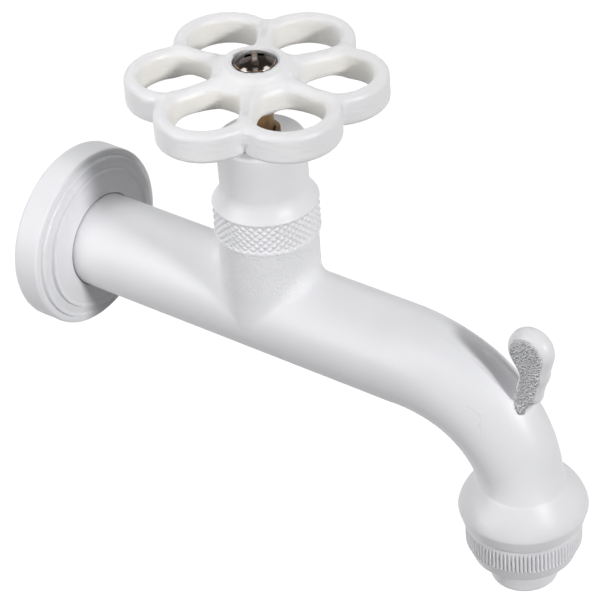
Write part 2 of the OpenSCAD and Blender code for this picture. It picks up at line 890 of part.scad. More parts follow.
// Jet former: a thin ring with crossed vanes that steady the jet
module jet_former() {
    r = nozzle_bore_r - run_fit;
    color(packing)
        at_outlet(nozzle_bottom + nozzle_lip)
            linear_extrude(former_h) {
                difference() {
                    circle(r = r);
                    circle(r = r - former_vane);
                }
                for (i = [0 : former_vanes - 1])
                    rotate(180 / former_vanes * i)
                        translate([-r + former_vane / 2, -former_vane / 2])
                            square([2 * r - former_vane, former_vane]);
            }
}

tap_body();
valve_seat();
wall_rosette();
bonnet_gasket();
headwork_body();
stem_packing();
packing_follower();
gland_nut();
shroud();
spindle();
jumper_valve();
valve_washer();
washer_nut();
handwheel();
screw_washer();
handwheel_screw();
outlet_nut();
outlet_nozzle();
outlet_washer();
jet_former();
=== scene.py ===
# Looks of a white powder-coated garden tap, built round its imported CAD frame.
# Settings are in mm and degrees, in the frame's own places: x runs from the wall, z up from the arm's axis.
import math

import bmesh
import bpy
import numpy as np
from mathutils import Matrix, Vector


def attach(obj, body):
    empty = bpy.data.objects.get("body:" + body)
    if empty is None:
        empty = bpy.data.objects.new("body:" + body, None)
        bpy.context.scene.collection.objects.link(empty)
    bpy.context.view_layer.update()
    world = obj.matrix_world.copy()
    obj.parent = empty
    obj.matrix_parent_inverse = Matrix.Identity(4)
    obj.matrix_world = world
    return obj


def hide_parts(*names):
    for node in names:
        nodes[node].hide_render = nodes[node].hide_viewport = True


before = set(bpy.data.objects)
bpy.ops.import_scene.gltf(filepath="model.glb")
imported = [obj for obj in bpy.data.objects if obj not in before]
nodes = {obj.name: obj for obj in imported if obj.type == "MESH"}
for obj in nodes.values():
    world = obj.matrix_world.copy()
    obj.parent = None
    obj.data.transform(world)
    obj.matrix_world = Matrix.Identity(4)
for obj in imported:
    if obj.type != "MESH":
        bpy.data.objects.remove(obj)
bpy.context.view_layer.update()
mm = 0.001
print("frame loaded:", len(nodes), "nodes")


def addObject(name, data):
    thing = bpy.data.objects.new(name, data)
    bpy.context.scene.collection.objects.link(thing)
    return thing


def readArray(items, name, width=1, kind=np.float32):
    # One value of every point, edge, corner or face, as an array with a row for each.
    values = np.zeros(len(items) * width, kind)
    items.foreach_get(name, values)
    return values.reshape(-1, width) if width > 1 else values


def weld(mesh, doubles, slivers=0):
    # Merges points closer than doubles and drops edges shorter than slivers, both in metres.
    work = bmesh.new()
    work.from_mesh(mesh)
    bmesh.ops.remove_doubles(work, verts=work.verts, dist=doubles)
    if slivers:
        bmesh.ops.dissolve_degenerate(work, edges=work.edges, dist=slivers)
    work.to_mesh(mesh)
    work.free()


def putMesh(name, points, quads, *role):
    # Points in mm and four-cornered faces become one smooth mesh with its role: body, slot (not used), material and the
    # nodes that it stands for. The sign of its volume, a sum of triple products of corners, decides which way the faces
    # turn.
    points = np.asarray(points, float)
    quads = np.asarray(quads, np.int32)
    a, b, c, d = (points[quads[:, k]] for k in range(4))
    if (np.einsum("ij,ij->i", a, np.cross(b, c)) + np.einsum("ij,ij->i", a, np.cross(c, d))).sum() < 0:
        quads = quads[:, ::-1]
    mesh = bpy.data.meshes.new(name)
    mesh.vertices.add(len(points))
    mesh.vertices.foreach_set("co", (points * mm).astype(np.float32).ravel())
    mesh.loops.add(quads.size)
    mesh.loops.foreach_set("vertex_index", quads.ravel())
    mesh.polygons.add(len(quads))
    mesh.polygons.foreach_set("loop_start", np.arange(0, quads.size, 4, dtype=np.int32))
    mesh.update(calc_edges=True)
    mesh.validate()
    return placeMesh(name, mesh, *role)


def placeMesh(name, mesh, body, slotName, material, stands=()):
    # Welds the poles, smooths the shading, gives the material and puts the piece on its body.
    weld(mesh, 2e-7, 1e-7)
    mesh.polygons.foreach_set("use_smooth", np.ones(len(mesh.polygons), bool))
    mesh.materials.clear()
    mesh.materials.append(material)
    piece = addObject(name, mesh)
    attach(piece, body)
    if stands:
        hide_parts(*stands)
    return piece


def addField(piece, name, formula):
    # Stores a number per point, worked out from the point's place in mm, for the piece's material.
    places = readArray(piece.data.vertices, "co", 3).astype(float) / mm
    attribute = piece.data.attributes.new(name, "FLOAT", "POINT")
    attribute.data.foreach_set("value", formula(places).astype(np.float32))


def gridQuads(rows, columns, closedRows):
    # Faces of a grid whose columns close into a ring, and whose rows close too where the profile is a loop.
    r = np.arange(rows if closedRows else rows - 1)[:, None]
    c = np.arange(columns)[None, :]
    up, side = (r + 1) % rows, (c + 1) % columns
    corners = [r * columns + c, r * columns + side, up * columns + side, up * columns + c]
    return np.stack(corners, -1).reshape(-1, 4)


# arcShare: how much of its shorter line an arc may use; straight: half angle, in radians, from which a corner has none
turning = {"arcSteps": 5, "support": 0.12, "arcShare": 0.46, "straight": 1.5}


def turnedProfile(corners, longest):
    # A closed turned section: straight lines between (place, radius, rounding) corners, each corner an arc tangent to
    # both lines, with a support point close to every arc and the long lines split into equal parts.
    place = np.array([corner[:2] for corner in corners], float)
    ends = []
    for i, corner in enumerate(corners):
        before, after = place[i - 1] - place[i], place[(i + 1) % len(corners)] - place[i]
        reach = min(np.linalg.norm(before), np.linalg.norm(after)) * turning["arcShare"]
        before, after = before / np.linalg.norm(before), after / np.linalg.norm(after)
        half = math.acos(np.clip(before @ after, -1, 1)) / 2
        if half > turning["straight"]:
            ends.append(place[i][None, :])
            continue
        back = min(corner[2] / math.tan(half), reach)
        radius = back * math.tan(half)
        middle = place[i] + (before + after) / np.linalg.norm(before + after) * radius / math.sin(half)
        start, stop = place[i] + before * back - middle, place[i] + after * back - middle
        share = np.linspace(0, 1, turning["arcSteps"] + 1)[:, None]
        sweep = math.acos(np.clip(start @ stop / radius ** 2, -1, 1))
        arc = (np.sin((1 - share) * sweep) * start + np.sin(share * sweep) * stop) / max(math.sin(sweep), 1e-9)
        ends.append(middle + arc)
    rows, support = [], turning["support"]
    for i in range(len(corners)):
        rows.append(ends[i])
        a, b = ends[i][-1], ends[(i + 1) % len(corners)][0]
        length = np.linalg.norm(b - a)
        if length > 4 * support:
            parts = max(1, math.ceil((length - 2 * support) / longest))
            share = (support + np.linspace(0, 1, parts + 1) * (length - 2 * support)) / length
            rows.append(a + share[:, None] * (b - a))
    return np.concatenate(rows)


def revolve(name, profile, axis, centre, sides, *role, wave=None, closed=True):
    # Carries a section round an axis: point = centre + place along the axis + (radius + wave) turned by the angle.
    angle = np.arange(sides) / sides * 2 * np.pi
    along = np.repeat(profile[:, :1], sides, 1)
    radius = np.repeat(profile[:, 1:], sides, 1)
    turn = np.repeat(angle[None, :], len(profile), 0)
    if wave is not None:
        along, radius = wave(along, radius, turn)
    across = (radius * np.cos(turn), radius * np.sin(turn))
    points = np.stack((along, *across) if axis == "x" else (*across, along), -1) + centre
    return putMesh(name, points.reshape(-1, 3), gridQuads(len(profile), sides, closed), *role)


def smoothMin(a, b, k):
    # Polynomial union of two distances: the smaller one, eased over a band k wide.
    h = np.clip(0.5 + 0.5 * (b - a) / k, 0, 1)
    return b + (a - b) * h - k * h * (1 - h)


def smoothMax(a, b, k):
    # The larger of two distances, eased the same way.
    return -smoothMin(-a, -b, k)


def ease(u):
    # Eases a share that is held between 0 and 1: three of its squares less two of its cubes.
    v = np.clip(u, 0, 1)
    return v * v * (3 - 2 * v)


def rise(value, start, band):
    # 0 up to the start, eased to 1 over a band above it.
    return ease((value - start) / band)


def fall(value, end, band):
    # 1 up to a band below the end, eased to 0 at it.
    return ease((end - value) / band)


def bellCurve(value, centre, width):
    # 1 at the centre, falling as e to the minus square of the distance over the width.
    return np.exp(-((value - centre) / width) ** 2)


# looseFrom, turnedFrom: the reach from which a point is drawn to its neighbours, and may face away as far as turned
walk = {"step": 0.02, "longest": 0.8, "leastSlope": 0.05, "looseFrom": 3, "turnedFrom": 5, "turned": -0.3, "drawn": 0.5}


def fieldSkin(node, voxel, field, reach, facing=0.35, rounds=5, settle=0):
    # Casts a CAD node afresh: an even voxel skin of its merged copy, whose points then walk down the gradient of a
    # distance formula until they lie on its zero, so that every joint of the casting gets its soft fillet.
    # Only points nearer to that zero than the reach, worked out from their place, and that face its way are moved.
    # Where the reach is long, settling rounds draw each point half-way to the mean of its neighbours in between.
    copy = nodes[node].data.copy()
    weld(copy, 1e-6)
    holder = addObject(node + "Cast", copy)
    remesh = holder.modifiers.new("even", "REMESH")
    remesh.mode = "VOXEL"
    remesh.voxel_size = voxel * mm
    bpy.context.view_layer.update()
    skin = bpy.data.meshes.new_from_object(holder.evaluated_get(bpy.context.evaluated_depsgraph_get()))
    bpy.data.objects.remove(holder)
    points = readArray(skin.vertices, "co", 3).astype(float) / mm
    normals = readArray(skin.vertices, "normal", 3)
    pairs = readArray(skin.edges, "vertices", 2, np.int32)
    ends, others = pairs.T.ravel(), pairs[:, ::-1].T.ravel()
    degree = np.bincount(ends, minlength=len(points))[:, None]
    step = walk["step"]
    for k in range(rounds + settle):
        if k >= rounds:
            mean = [np.bincount(ends, points[others, axis], len(points)) for axis in range(3)]
            points[loose] += walk["drawn"] * (np.stack(mean, -1) / degree - points)[loose]
        value = field(points)
        slope = [(field(points + step * e) - field(points - step * e)) / (2 * step) for e in np.eye(3)]
        slope = np.stack(slope, -1)
        if k == 0:
            limit = reach(points)
            least = np.where(limit > walk["turnedFrom"], walk["turned"], facing)
            free = (np.abs(value) < limit) & ((slope * normals).sum(-1) > least)
            loose = free & (limit > walk["looseFrom"])
        size = np.maximum((slope ** 2).sum(-1), walk["leastSlope"])
        move = np.clip(-value / size, -walk["longest"], walk["longest"])[:, None] * slope
        points[free] += move[free]
    skin.vertices.foreach_set("co", (points * mm).astype(np.float32).ravel())
    skin.update()
    return skin, points, free


def addNode(tree, kind, inputs, **settings):
    # Makes one shader node; each of its inputs takes a value or the output that feeds it.
    node = tree.nodes.new("ShaderNode" + kind)
    for label, value in settings.items():
        setattr(node, label, value)
    for label, value in inputs.items():
        if isinstance(value, bpy.types.NodeSocket):
            tree.links.new(value, node.inputs[label])
        else:
            node.inputs[label].default_value = value
    return node


def mathNode(tree, operation, a, b, clamp=False):
    return addNode(tree, "Math", {0: a, 1: b}, operation=operation, use_clamp=clamp).outputs[0]


def times(tree, a, b, clamp=False):
    return mathNode(tree, "MULTIPLY", a, b, clamp)


def noiseNode(tree, vector, scale, detail, rough=0.5):
    inputs = {"Vector": vector, "Scale": scale, "Detail": detail, "Roughness": rough}
    return addNode(tree, "TexNoise", inputs).outputs["Fac"]


def cellNode(tree, vector, scale, feature="F1"):
    return addNode(tree, "TexVoronoi", {"Vector": vector, "Scale": scale}, feature=feature).outputs["Distance"]


def attributeNode(tree, name):
    return addNode(tree, "Attribute", {}, attribute_name=name).outputs["Fac"]


def mixColour(tree, share, first, second):
    mix = addNode(tree, "Mix", {"Factor": share, 6: first, 7: (*second, 1)}, data_type="RGBA")
    return mix.outputs[2]


def group(name, inputs, outputs):
    # An empty node group: an input that starts as three numbers is a vector, every other socket is a number.
    tree = bpy.data.node_groups.new(name, "ShaderNodeTree")
    for label, value in inputs.items():
        kind = "NodeSocketVector" if isinstance(value, tuple) else "NodeSocketFloat"
        tree.interface.new_socket(label, in_out="INPUT", socket_type=kind).default_value = value
    for label in outputs:
        tree.interface.new_socket(label, in_out="OUTPUT", socket_type="NodeSocketFloat")
    return tree, tree.nodes.new("NodeGroupInput").outputs, tree.nodes.new("NodeGroupOutput").inputs


coat = {
    "peel": 1500, "flow": 420, "flowShare": 1.1, "slow": 38, "glossSlow": 0.7, "glossPeel": 0.3,
    "speckCells": 330, "speckSize": 0.13, "speckHeight": 9, "speckPatches": 120, "speckFrom": 0.66,
}


def powderCoat():
    # Height of a sprayed and baked coat: fine orange peel, a broader flow and rare specks. Tone is a slow noise, and
    # gloss a mean of it and the peel.
    inputs = {"Vector": (0, 0, 0), "Peel": 1.0, "Speck": 1.0}
    tree, come, go = group("powderCoat", inputs, ("Height", "Tone", "Gloss"))
    vector = come["Vector"]
    peel, flow = noiseNode(tree, vector, coat["peel"], 2), noiseNode(tree, vector, coat["flow"], 2)
    slow = noiseNode(tree, vector, coat["slow"], 3)
    speck = mathNode(tree, "SUBTRACT", coat["speckSize"], cellNode(tree, vector, coat["speckCells"]), True)
    speck = times(tree, times(tree, speck, coat["speckHeight"]), come["Speck"])
    patches = noiseNode(tree, vector, coat["speckPatches"], 1)
    speck = times(tree, speck, mathNode(tree, "GREATER_THAN", patches, coat["speckFrom"]))
    height = mathNode(tree, "ADD", times(tree, peel, come["Peel"]), times(tree, flow, coat["flowShare"]))
    gloss = mathNode(tree, "ADD", times(tree, slow, coat["glossSlow"]), times(tree, peel, coat["glossPeel"]))
    tree.links.new(mathNode(tree, "ADD", height, speck), go["Height"])
    tree.links.new(slow, go["Tone"])
    tree.links.new(gloss, go["Gloss"])
    return tree


def turnedMarks():
    # Rings left by a lathe: noise read along one number only, the distance from the axis or along it.
    tree, come, go = group("turnedMarks", {"Vector": (0, 0, 0), "Pitch": 2500.0}, ("Height",))
    length = addNode(tree, "VectorMath", {0: come["Vector"]}, operation="LENGTH").outputs["Value"]
    inputs = {"W": times(tree, length, come["Pitch"]), "Scale": 1.0, "Detail": 3}
    tree.links.new(addNode(tree, "TexNoise", inputs, noise_dimensions="1D").outputs["Fac"], go["Height"])
    return tree


hairs = {"warp": 420, "shift": (0.0025, 0.0025, 0.0025), "cells": 105, "thin": 38}


def hairLines():
    # Height of fine cracks: the thin edges between the cells of a warped cell pattern, where the mask lets them show.
    tree, come, go = group("hairLines", {"Vector": (0, 0, 0), "Mask": 0.0}, ("Height",))
    warp = addNode(tree, "TexNoise", {"Vector": come["Vector"], "Scale": hairs["warp"], "Detail": 2}).outputs["Color"]
    inputs = {0: warp, 1: hairs["shift"], 2: come["Vector"]}
    bent = addNode(tree, "VectorMath", inputs, operation="MULTIPLY_ADD").outputs[0]
    edge = times(tree, cellNode(tree, bent, hairs["cells"], "DISTANCE_TO_EDGE"), hairs["thin"])
    tree.links.new(times(tree, mathNode(tree, "SUBTRACT", 1.0, edge, True), come["Mask"]), go["Height"])
    return tree


coatTree, marksTree, hairTree = powderCoat(), turnedMarks(), hairLines()


def useGroup(tree, which, **inputs):
    return addNode(tree, "Group", inputs, node_tree=which).outputs


def startMaterial(name, colour, metallic, roughness):
    material = bpy.data.materials.new(name)
    material.use_nodes = True
    shader = material.node_tree.nodes["Principled BSDF"].inputs
    shader["Base Color"].default_value = (*colour, 1)
    shader["Metallic"].default_value = metallic
    shader["Roughness"].default_value = roughness
    return material, material.node_tree, shader


def feed(tree, shader, colour, roughness, normal):
    for label, output in (("Base Color", colour), ("Roughness", roughness), ("Normal", normal)):
        tree.links.new(output, shader[label])


def objectPlace(tree):
    return addNode(tree, "TexCoord", {}).outputs["Object"]


def ramp(tree, value, stops):
    # A colour ramp through two or more stops, each a place from 0 to 1 and a colour.
    node = addNode(tree, "ValToRGB", {"Fac": value})
    marks = node.color_ramp.elements
    marks[0].position, marks[1].position = stops[0][0], stops[-1][0]
    for position, _ in stops[1:-1]:
        marks.new(position)
    for mark, (_, colour) in zip(marks, stops):
        mark.color = (*colour, 1)
    return node.outputs["Color"]


noiseLow, noiseHigh = 0.3, 0.7  # where most of a noise lies


def toneRamp(tree, value, deep, pale):
    return ramp(tree, value, [(noiseLow, deep), (noiseHigh, pale)])


def spread(tree, value, low, high):
    # Carries the part where most of a noise lies on to low and high.
    inputs = {"Value": value, "From Min": noiseLow, "From Max": noiseHigh, "To Min": low, "To Max": high}
    return addNode(tree, "MapRange", inputs).outputs["Result"]


def bump(tree, height, depth, before=None):
    # The normal of a height that is depth mm high, on top of the normal before it.
    inputs = {"Height": height, "Strength": 1.0, "Distance": depth * mm}
    if before is not None:
        inputs["Normal"] = before
    return addNode(tree, "Bump", inputs).outputs["Normal"]


def latheRings(tree, place, marks):
    # Lathe rings: the axis is shifted to the origin, and only the directions that are kept count for the distance.
    inputs = {"Vector": place, "Location": [v * mm for v in marks["shift"]], "Scale": marks["keep"]}
    vector = addNode(tree, "Mapping", inputs).outputs["Vector"]
    return useGroup(tree, marksTree, Vector=vector, Pitch=marks["pitch"])["Height"]


def coatMaterial(name, tone, peel, marks=None, strokes=None, warm=None, grain=None):
    # Satin white powder coat; marks are lathe rings showing through it, strokes are soft hand-finishing streaks, warm
    # is a tone that cloudy patches on the attribute innerWall lean towards, and grain is sand grain on the attribute
    # sandGrain, with painted shade darkening its pits, and hairlines on the attribute hairMark.
    material, tree, shader = startMaterial(name, tone["pale"], 0, 0.42)
    place = objectPlace(tree)
    fine = useGroup(tree, coatTree, Vector=place, Peel=1.0)
    colour = toneRamp(tree, fine["Tone"], tone["deep"], tone["pale"])
    normal = bump(tree, fine["Height"], peel)
    if marks:
        normal = bump(tree, latheRings(tree, place, marks), marks["depth"], normal)
    if strokes:
        stretched = addNode(tree, "Mapping", {"Vector": place, "Scale": strokes["scale"]}).outputs["Vector"]
        normal = bump(tree, noiseNode(tree, stretched, strokes["size"], 3, 0.55), strokes["depth"], normal)
    if warm:
        cloud = spread(tree, noiseNode(tree, place, warm["cloud"], 2), 0.5, 1)
        colour = mixColour(tree, times(tree, cloud, attributeNode(tree, "innerWall"), True), colour, warm["colour"])
    if grain:
        mask = attributeNode(tree, "sandGrain")
        rough = mathNode(tree, "ADD", times(tree, noiseNode(tree, place, grain["noise"], 2, 0.6), grain["noiseShare"]),
                         times(tree, cellNode(tree, place, grain["cells"]), grain["cellShare"]))
        normal = bump(tree, times(tree, rough, mask), grain["depth"], normal)
        # Painted shade: the pits of the grain are darkened in the base colour to stand for their self-shadowing.
        pitShade = times(tree, spread(tree, rough, *grain["pitShade"]), mask, True)
        colour = mixColour(tree, pitShade, colour, grain["pitShadeColour"])
        lines = useGroup(tree, hairTree, Vector=place, Mask=attributeNode(tree, "hairMark"))["Height"]
        normal = bump(tree, times(tree, lines, -1.0), grain["hairDepth"], normal)
    feed(tree, shader, colour, spread(tree, fine["Gloss"], 0.36, 0.5), normal)
    return material


metalRings = {"shift": (-74, 0, 0), "keep": (1, 1, 0), "pitch": 2600}


def metalMaterial(name, pale, deep, roughLow, roughHigh, depth):
    # Turned metal: lathe rings in the height, and a slow change of tone and gloss.
    material, tree, shader = startMaterial(name, pale, 1, roughLow)
    place = objectPlace(tree)
    slow = noiseNode(tree, place, 140, 3)
    normal = bump(tree, latheRings(tree, place, metalRings), depth)
    feed(tree, shader, toneRamp(tree, slow, deep, pale), spread(tree, slow, roughLow, roughHigh), normal)
    return material


def chromeWithPaintedGlints(name, tones):
    # Chrome in near black, a painted reflection of a dark room, turned brown and then bright as the level on its
    # attribute rises; that level holds painted highlights and reflections with some wear, and noise breaks the borders.
    material, tree, shader = startMaterial(name, tones["dark"], 1, 0.1)
    place = objectPlace(tree)
    patches = noiseNode(tree, place, 700, 4, 0.6)
    shifted = times(tree, mathNode(tree, "SUBTRACT", patches, 0.5), 0.5)
    level = mathNode(tree, "ADD", attributeNode(tree, tones["glintsAndWear"]), shifted, True)
    colour = ramp(tree, level, [(0.22, tones["dark"]), (0.5, tones["brown"]), (0.8, tones["bright"])])
    feed(tree, shader, colour, spread(tree, patches, 0.06, 0.16), bump(tree, noiseNode(tree, place, 1500, 2), 0.006))
    return material


def softMaterial(name, pale, deep, roughness, scale, depth):
    # Moulded or pressed: one grain in height, tone and gloss.
    material, tree, shader = startMaterial(name, pale, 0, roughness)
    grain = noiseNode(tree, objectPlace(tree), scale, 4, 0.6)
    gloss = spread(tree, grain, roughness - 0.06, roughness + 0.06)
    feed(tree, shader, toneRamp(tree, grain, deep, pale), gloss, bump(tree, grain, depth))
    return material


coatTone = {"pale": (0.84, 0.84, 0.86), "deep": (0.81, 0.81, 0.835)}
wheelTone = {"pale": (0.865, 0.86, 0.87), "deep": (0.84, 0.835, 0.85)}
# The body coat's grain darkens its pits in colour, a painted shade of the rough hook faces' self-shadowing.
bodyCoat = coatMaterial("bodyCoat", coatTone, 0.035, grain={
    "noise": 1250, "noiseShare": 1.6, "cells": 1750, "cellShare": 1.3, "depth": 0.8,
    "pitShade": (1.1, -0.55), "pitShadeColour": (0.58, 0.58, 0.61), "hairDepth": 0.12})
rosetteCoat = coatMaterial("rosetteCoat", coatTone, 0.035, marks={
    "shift": (0, 0, 0), "keep": (0, 1, 1), "pitch": 2200, "depth": 0.05})
shroudCoat = coatMaterial("shroudCoat", coatTone, 0.035, marks={
    "shift": (0, 0, 0), "keep": (0, 0, 1), "pitch": 1700, "depth": 0.02})
wheelCoat = coatMaterial("wheelCoat", wheelTone, 0.045, strokes={"scale": (1, 1, 4.5), "size": 190, "depth": 0.22},
                         warm={"cloud": 75, "colour": (0.86, 0.84, 0.79)})
nutCoat = coatMaterial("nutCoat", coatTone, 0.03)
brass = metalMaterial("turnedBrass", (0.80, 0.61, 0.30), (0.66, 0.47, 0.20), 0.22, 0.36, 0.02)
# Painted shade: a darker copy of the brass for the gland nut and spindle, which sit in shade under the wheel.
shadedBrass = metalMaterial("brassPaintedShade", (0.28, 0.17, 0.08), (0.09, 0.055, 0.03), 0.3, 0.5, 0.02)
rawBrass = metalMaterial("threadBrass", (0.78, 0.60, 0.31), (0.62, 0.45, 0.20), 0.28, 0.42, 0.01)
zinc = metalMaterial("washerZinc", (0.66, 0.66, 0.67), (0.54, 0.54, 0.56), 0.3, 0.45, 0.01)
# Painted reflection and highlight: the near-black tone stands in for the reflection of a dark room, and the brown and
# bright stops are painted reflections and highlights, with some wear.
chrome = chromeWithPaintedGlints("screwChrome", {
    "dark": (0.022, 0.018, 0.016), "brown": (0.22, 0.15, 0.11), "bright": (0.80, 0.76, 0.71), "glintsAndWear": "paintedGlintsAndWear"})
rubber = softMaterial("mouldedRubber", (0.045, 0.045, 0.05), (0.03, 0.03, 0.034), 0.6, 900, 0.03)
fibre = softMaterial("redFibre", (0.36, 0.10, 0.06), (0.28, 0.07, 0.045), 0.75, 1400, 0.04)
packing = softMaterial("whitePacking", (0.80, 0.79, 0.75), (0.72, 0.71, 0.67), 0.5, 700, 0.02)
print("materials made")


# Cast body: arm, boss, keeled bend with its groove, hook, bell and the two threaded ends' cores.
cast = {
    "armR": 14.0, "shoulderX": 2.0, "shoulderEdge": 0.5, "reach": 157.0, "voxel": 0.43, "splitX": 101.0,
    "bossX": 74.0, "bossR": 14.2, "bossTop": 26.6, "bossEdge": 0.35, "bossFillet": 4.5, "bossFade": 1.5,
    "bendR": 45.0, "bendTurn": 23.0, "dropR": 32.0, "footR": 11.4, "keel": 1.9,
    "inletCore": 9.0, "inletEnd": -13.0, "outletCore": 11.7, "spigotZ": -47.689,
}
# pairs are where a stretch starts and how long it is, as shares of the bend's course
groove = {
    "width": 7.2, "depth": 2.5, "edge": 0.2, "bowl": 2.4, "bowlDip": 0.82, "slope": 0.6,
    "gentle": (0.07, 0.16), "gentleFall": 0.2, "dip": (0.23, 0.24), "dipFall": 0.8, "pocket": (0.47, 0.06),
    "pocketLift": 0.6, "end": 0.53,
}
hook = {
    "head": (160.4, 17.05), "waist": (161.5, 10.2), "kneeShift": 0.3, "radii": (3.6, 0.8, 0.5, 0.2), "blend": 1.2,
    "rootShare": 0.57, "rootDepth": 3.584, "rootShift": 1.1, "half": 3.2, "narrow": 1.7, "near": 9.5,
    "fillet": 0.8, "soft": 2.4, "softReach": 7, "softFade": 6,
}
bell = {
    "r": 18.05, "z": -40.433, "h": 13.2, "lipH": 4.0, "lipIn": 1.15, "lipEdge": 0.7, "swellTurn": 78.0,
    "swellPower": 0.78, "slope": 0.8, "above": 8, "fillet": 2.2, "soft": 6.0, "softTurn": -51.4,
}
turnRad = math.radians(cast["bendTurn"])
bendX = cast["reach"] - cast["bendR"] * math.sin(turnRad) - cast["dropR"] * (1 - math.sin(turnRad))
bendLen = cast["bendR"] * turnRad
spineLen = bendLen + cast["dropR"] * (math.pi / 2 - turnRad)
dropX = cast["reach"] - cast["dropR"]
wheelAxis, outletAxis = (cast["bossX"], 0, 0), (cast["reach"], 0, 0)
footZ = -cast["bendR"] + (cast["bendR"] - cast["dropR"]) * math.cos(turnRad)


def spineCoords(x, z):
    # Distance along the bend's two-arc course and height off it, towards the outside of the bend.
    firstTurn = np.arctan2(x - bendX, z + cast["bendR"])
    secondTurn = np.arctan2(x - dropX, z - footZ)
    firstOff = np.hypot(x - bendX, z + cast["bendR"]) - cast["bendR"]
    secondOff = np.hypot(x - dropX, z - footZ) - cast["dropR"]
    inFirst = firstTurn < turnRad
    along = np.where(inFirst, cast["bendR"] * firstTurn, bendLen + cast["dropR"] * (secondTurn - turnRad))
    along = np.where(x < bendX, x - bendX, along)
    off = np.where(x < bendX, z, np.where(inFirst, firstOff, secondOff))
    below = (z < footZ) & (x > dropX)
    return np.where(below, spineLen + footZ - z, along), np.where(below, x - cast["reach"], off)


def skinRadius(along, outward):
    # Radius of the bend's section: a steady taper plus a keel that swells and dies as a squared sine.
    share = np.clip(along / spineLen, 0, 1)
    keel = cast["keel"] * np.sin(np.pi * share) ** 2 * np.clip(outward, 0, 1) ** 4
    return cast["armR"] + (cast["footR"] - cast["armR"]) * share + keel


def grooveFloor(share):
    # Share of the full depth: a gentle fall, a smooth dip, then the pocket's quarter circle at the hook.
    gentle, dip, pocket = ((share - groove[k][0]) / groove[k][1] for k in ("gentle", "dip", "pocket"))
    slope = groove["gentleFall"] * np.clip(gentle, 0, 1) + groove["dipFall"] * ease(dip)
    lift = groove["pocketLift"] * (1 - np.sqrt(np.clip(1 - pocket ** 2, 0, 1)))
    return slope - np.where(share < groove["pocket"][0], 0, lift)


def grooveField(along, off, y):
    # Distance to the groove's bowl, cut off at its sides and ends: its depth falls off sideways as a power of the
    # share of the half width.
    side = np.clip(np.abs(y) * 2 / groove["width"], 0, 1)
    depth = groove["depth"] * grooveFloor(along / spineLen) * (1 - groove["bowlDip"] * side ** groove["bowl"])
    cut = (skinRadius(along, np.ones_like(along)) - depth - off) * groove["slope"]
    cut = np.maximum(cut, np.abs(y) - groove["width"] / 2)
    return np.maximum(cut, np.maximum(groove["gentle"][0] * spineLen - along, along - groove["end"] * spineLen))


def roundCone(px, pz, a, b, ra, rb):
    # Flat distance to two discs joined by their outer tangents.
    ba = np.subtract(b, a)
    length2 = ba @ ba
    rr = ra - rb
    a2, inv = length2 - rr * rr, 1 / length2
    pax, paz = px - a[0], pz - a[1]
    y = pax * ba[0] + paz * ba[1]
    z = y - length2
    x2 = (pax * length2 - ba[0] * y) ** 2 + (paz * length2 - ba[1] * y) ** 2
    y2, z2 = y * y * length2, z * z * length2
    k = np.sign(rr) * rr * rr * x2
    side = (np.sqrt(x2 * a2 * inv) + y * rr) * inv - ra
    side = np.where(np.sign(y) * a2 * y2 < k, np.sqrt(x2 + y2) * inv - ra, side)
    return np.where(np.sign(z) * a2 * z2 > k, np.sqrt(x2 + z2) * inv - rb, side)


rootAlong = hook["rootShare"] * spineLen
rootTurn = turnRad + (rootAlong - bendLen) / cast["dropR"]
rootR = cast["dropR"] + (float(skinRadius(rootAlong, 1.0)) - hook["rootDepth"])
hookRoot = np.array([dropX + rootR * math.sin(rootTurn), footZ + rootR * math.cos(rootTurn)])
hookRoot = hookRoot + hook["rootShift"] * np.array([math.cos(rootTurn), -math.sin(rootTurn)])
hookKnee = (np.array(hook["waist"]) + hookRoot) / 2 + [hook["kneeShift"], 0]


def fromHookRoot(x, z):
    return np.hypot(x - hookRoot[0], z - hookRoot[1])


def hookField(p):
    # A flat outline of three joined cones, rounded to a plate by the distance to that outline in its plane.
    # Near its root the plate narrows, so that its side ends in a point on the bend.
    x, y, z = p.T
    course = (hook["head"], hook["waist"], hookKnee, hookRoot)
    head, neck, foot = (roundCone(x, z, course[k], course[k + 1], *hook["radii"][k:k + 2]) for k in range(3))
    flat = smoothMin(smoothMin(head, neck, hook["blend"]), foot, hook["blend"])
    low = ease(1 - fromHookRoot(x, z) / hook["near"])
    return np.hypot(np.maximum(flat, 0) * (1 + hook["narrow"] * low), y) - hook["half"]


def bellRadius(z):
    # A power of most of a quarter sine from the bend's foot to the widest ring, then a straight tuck in to the lip.
    top, wide, full = bell["z"] + bell["h"], bell["z"] + bell["lipH"], math.radians(bell["swellTurn"])
    share = (np.sin(full * np.clip((top - z) / (top - wide), 0, 1)) / math.sin(full)) ** bell["swellPower"]
    swell = cast["footR"] + (bell["r"] - cast["footR"]) * share - np.maximum(z - top, 0)
    return np.where(z > wide, swell, bell["r"] - bell["lipIn"] * np.clip((wide - z) / bell["lipH"], 0, 1.2))


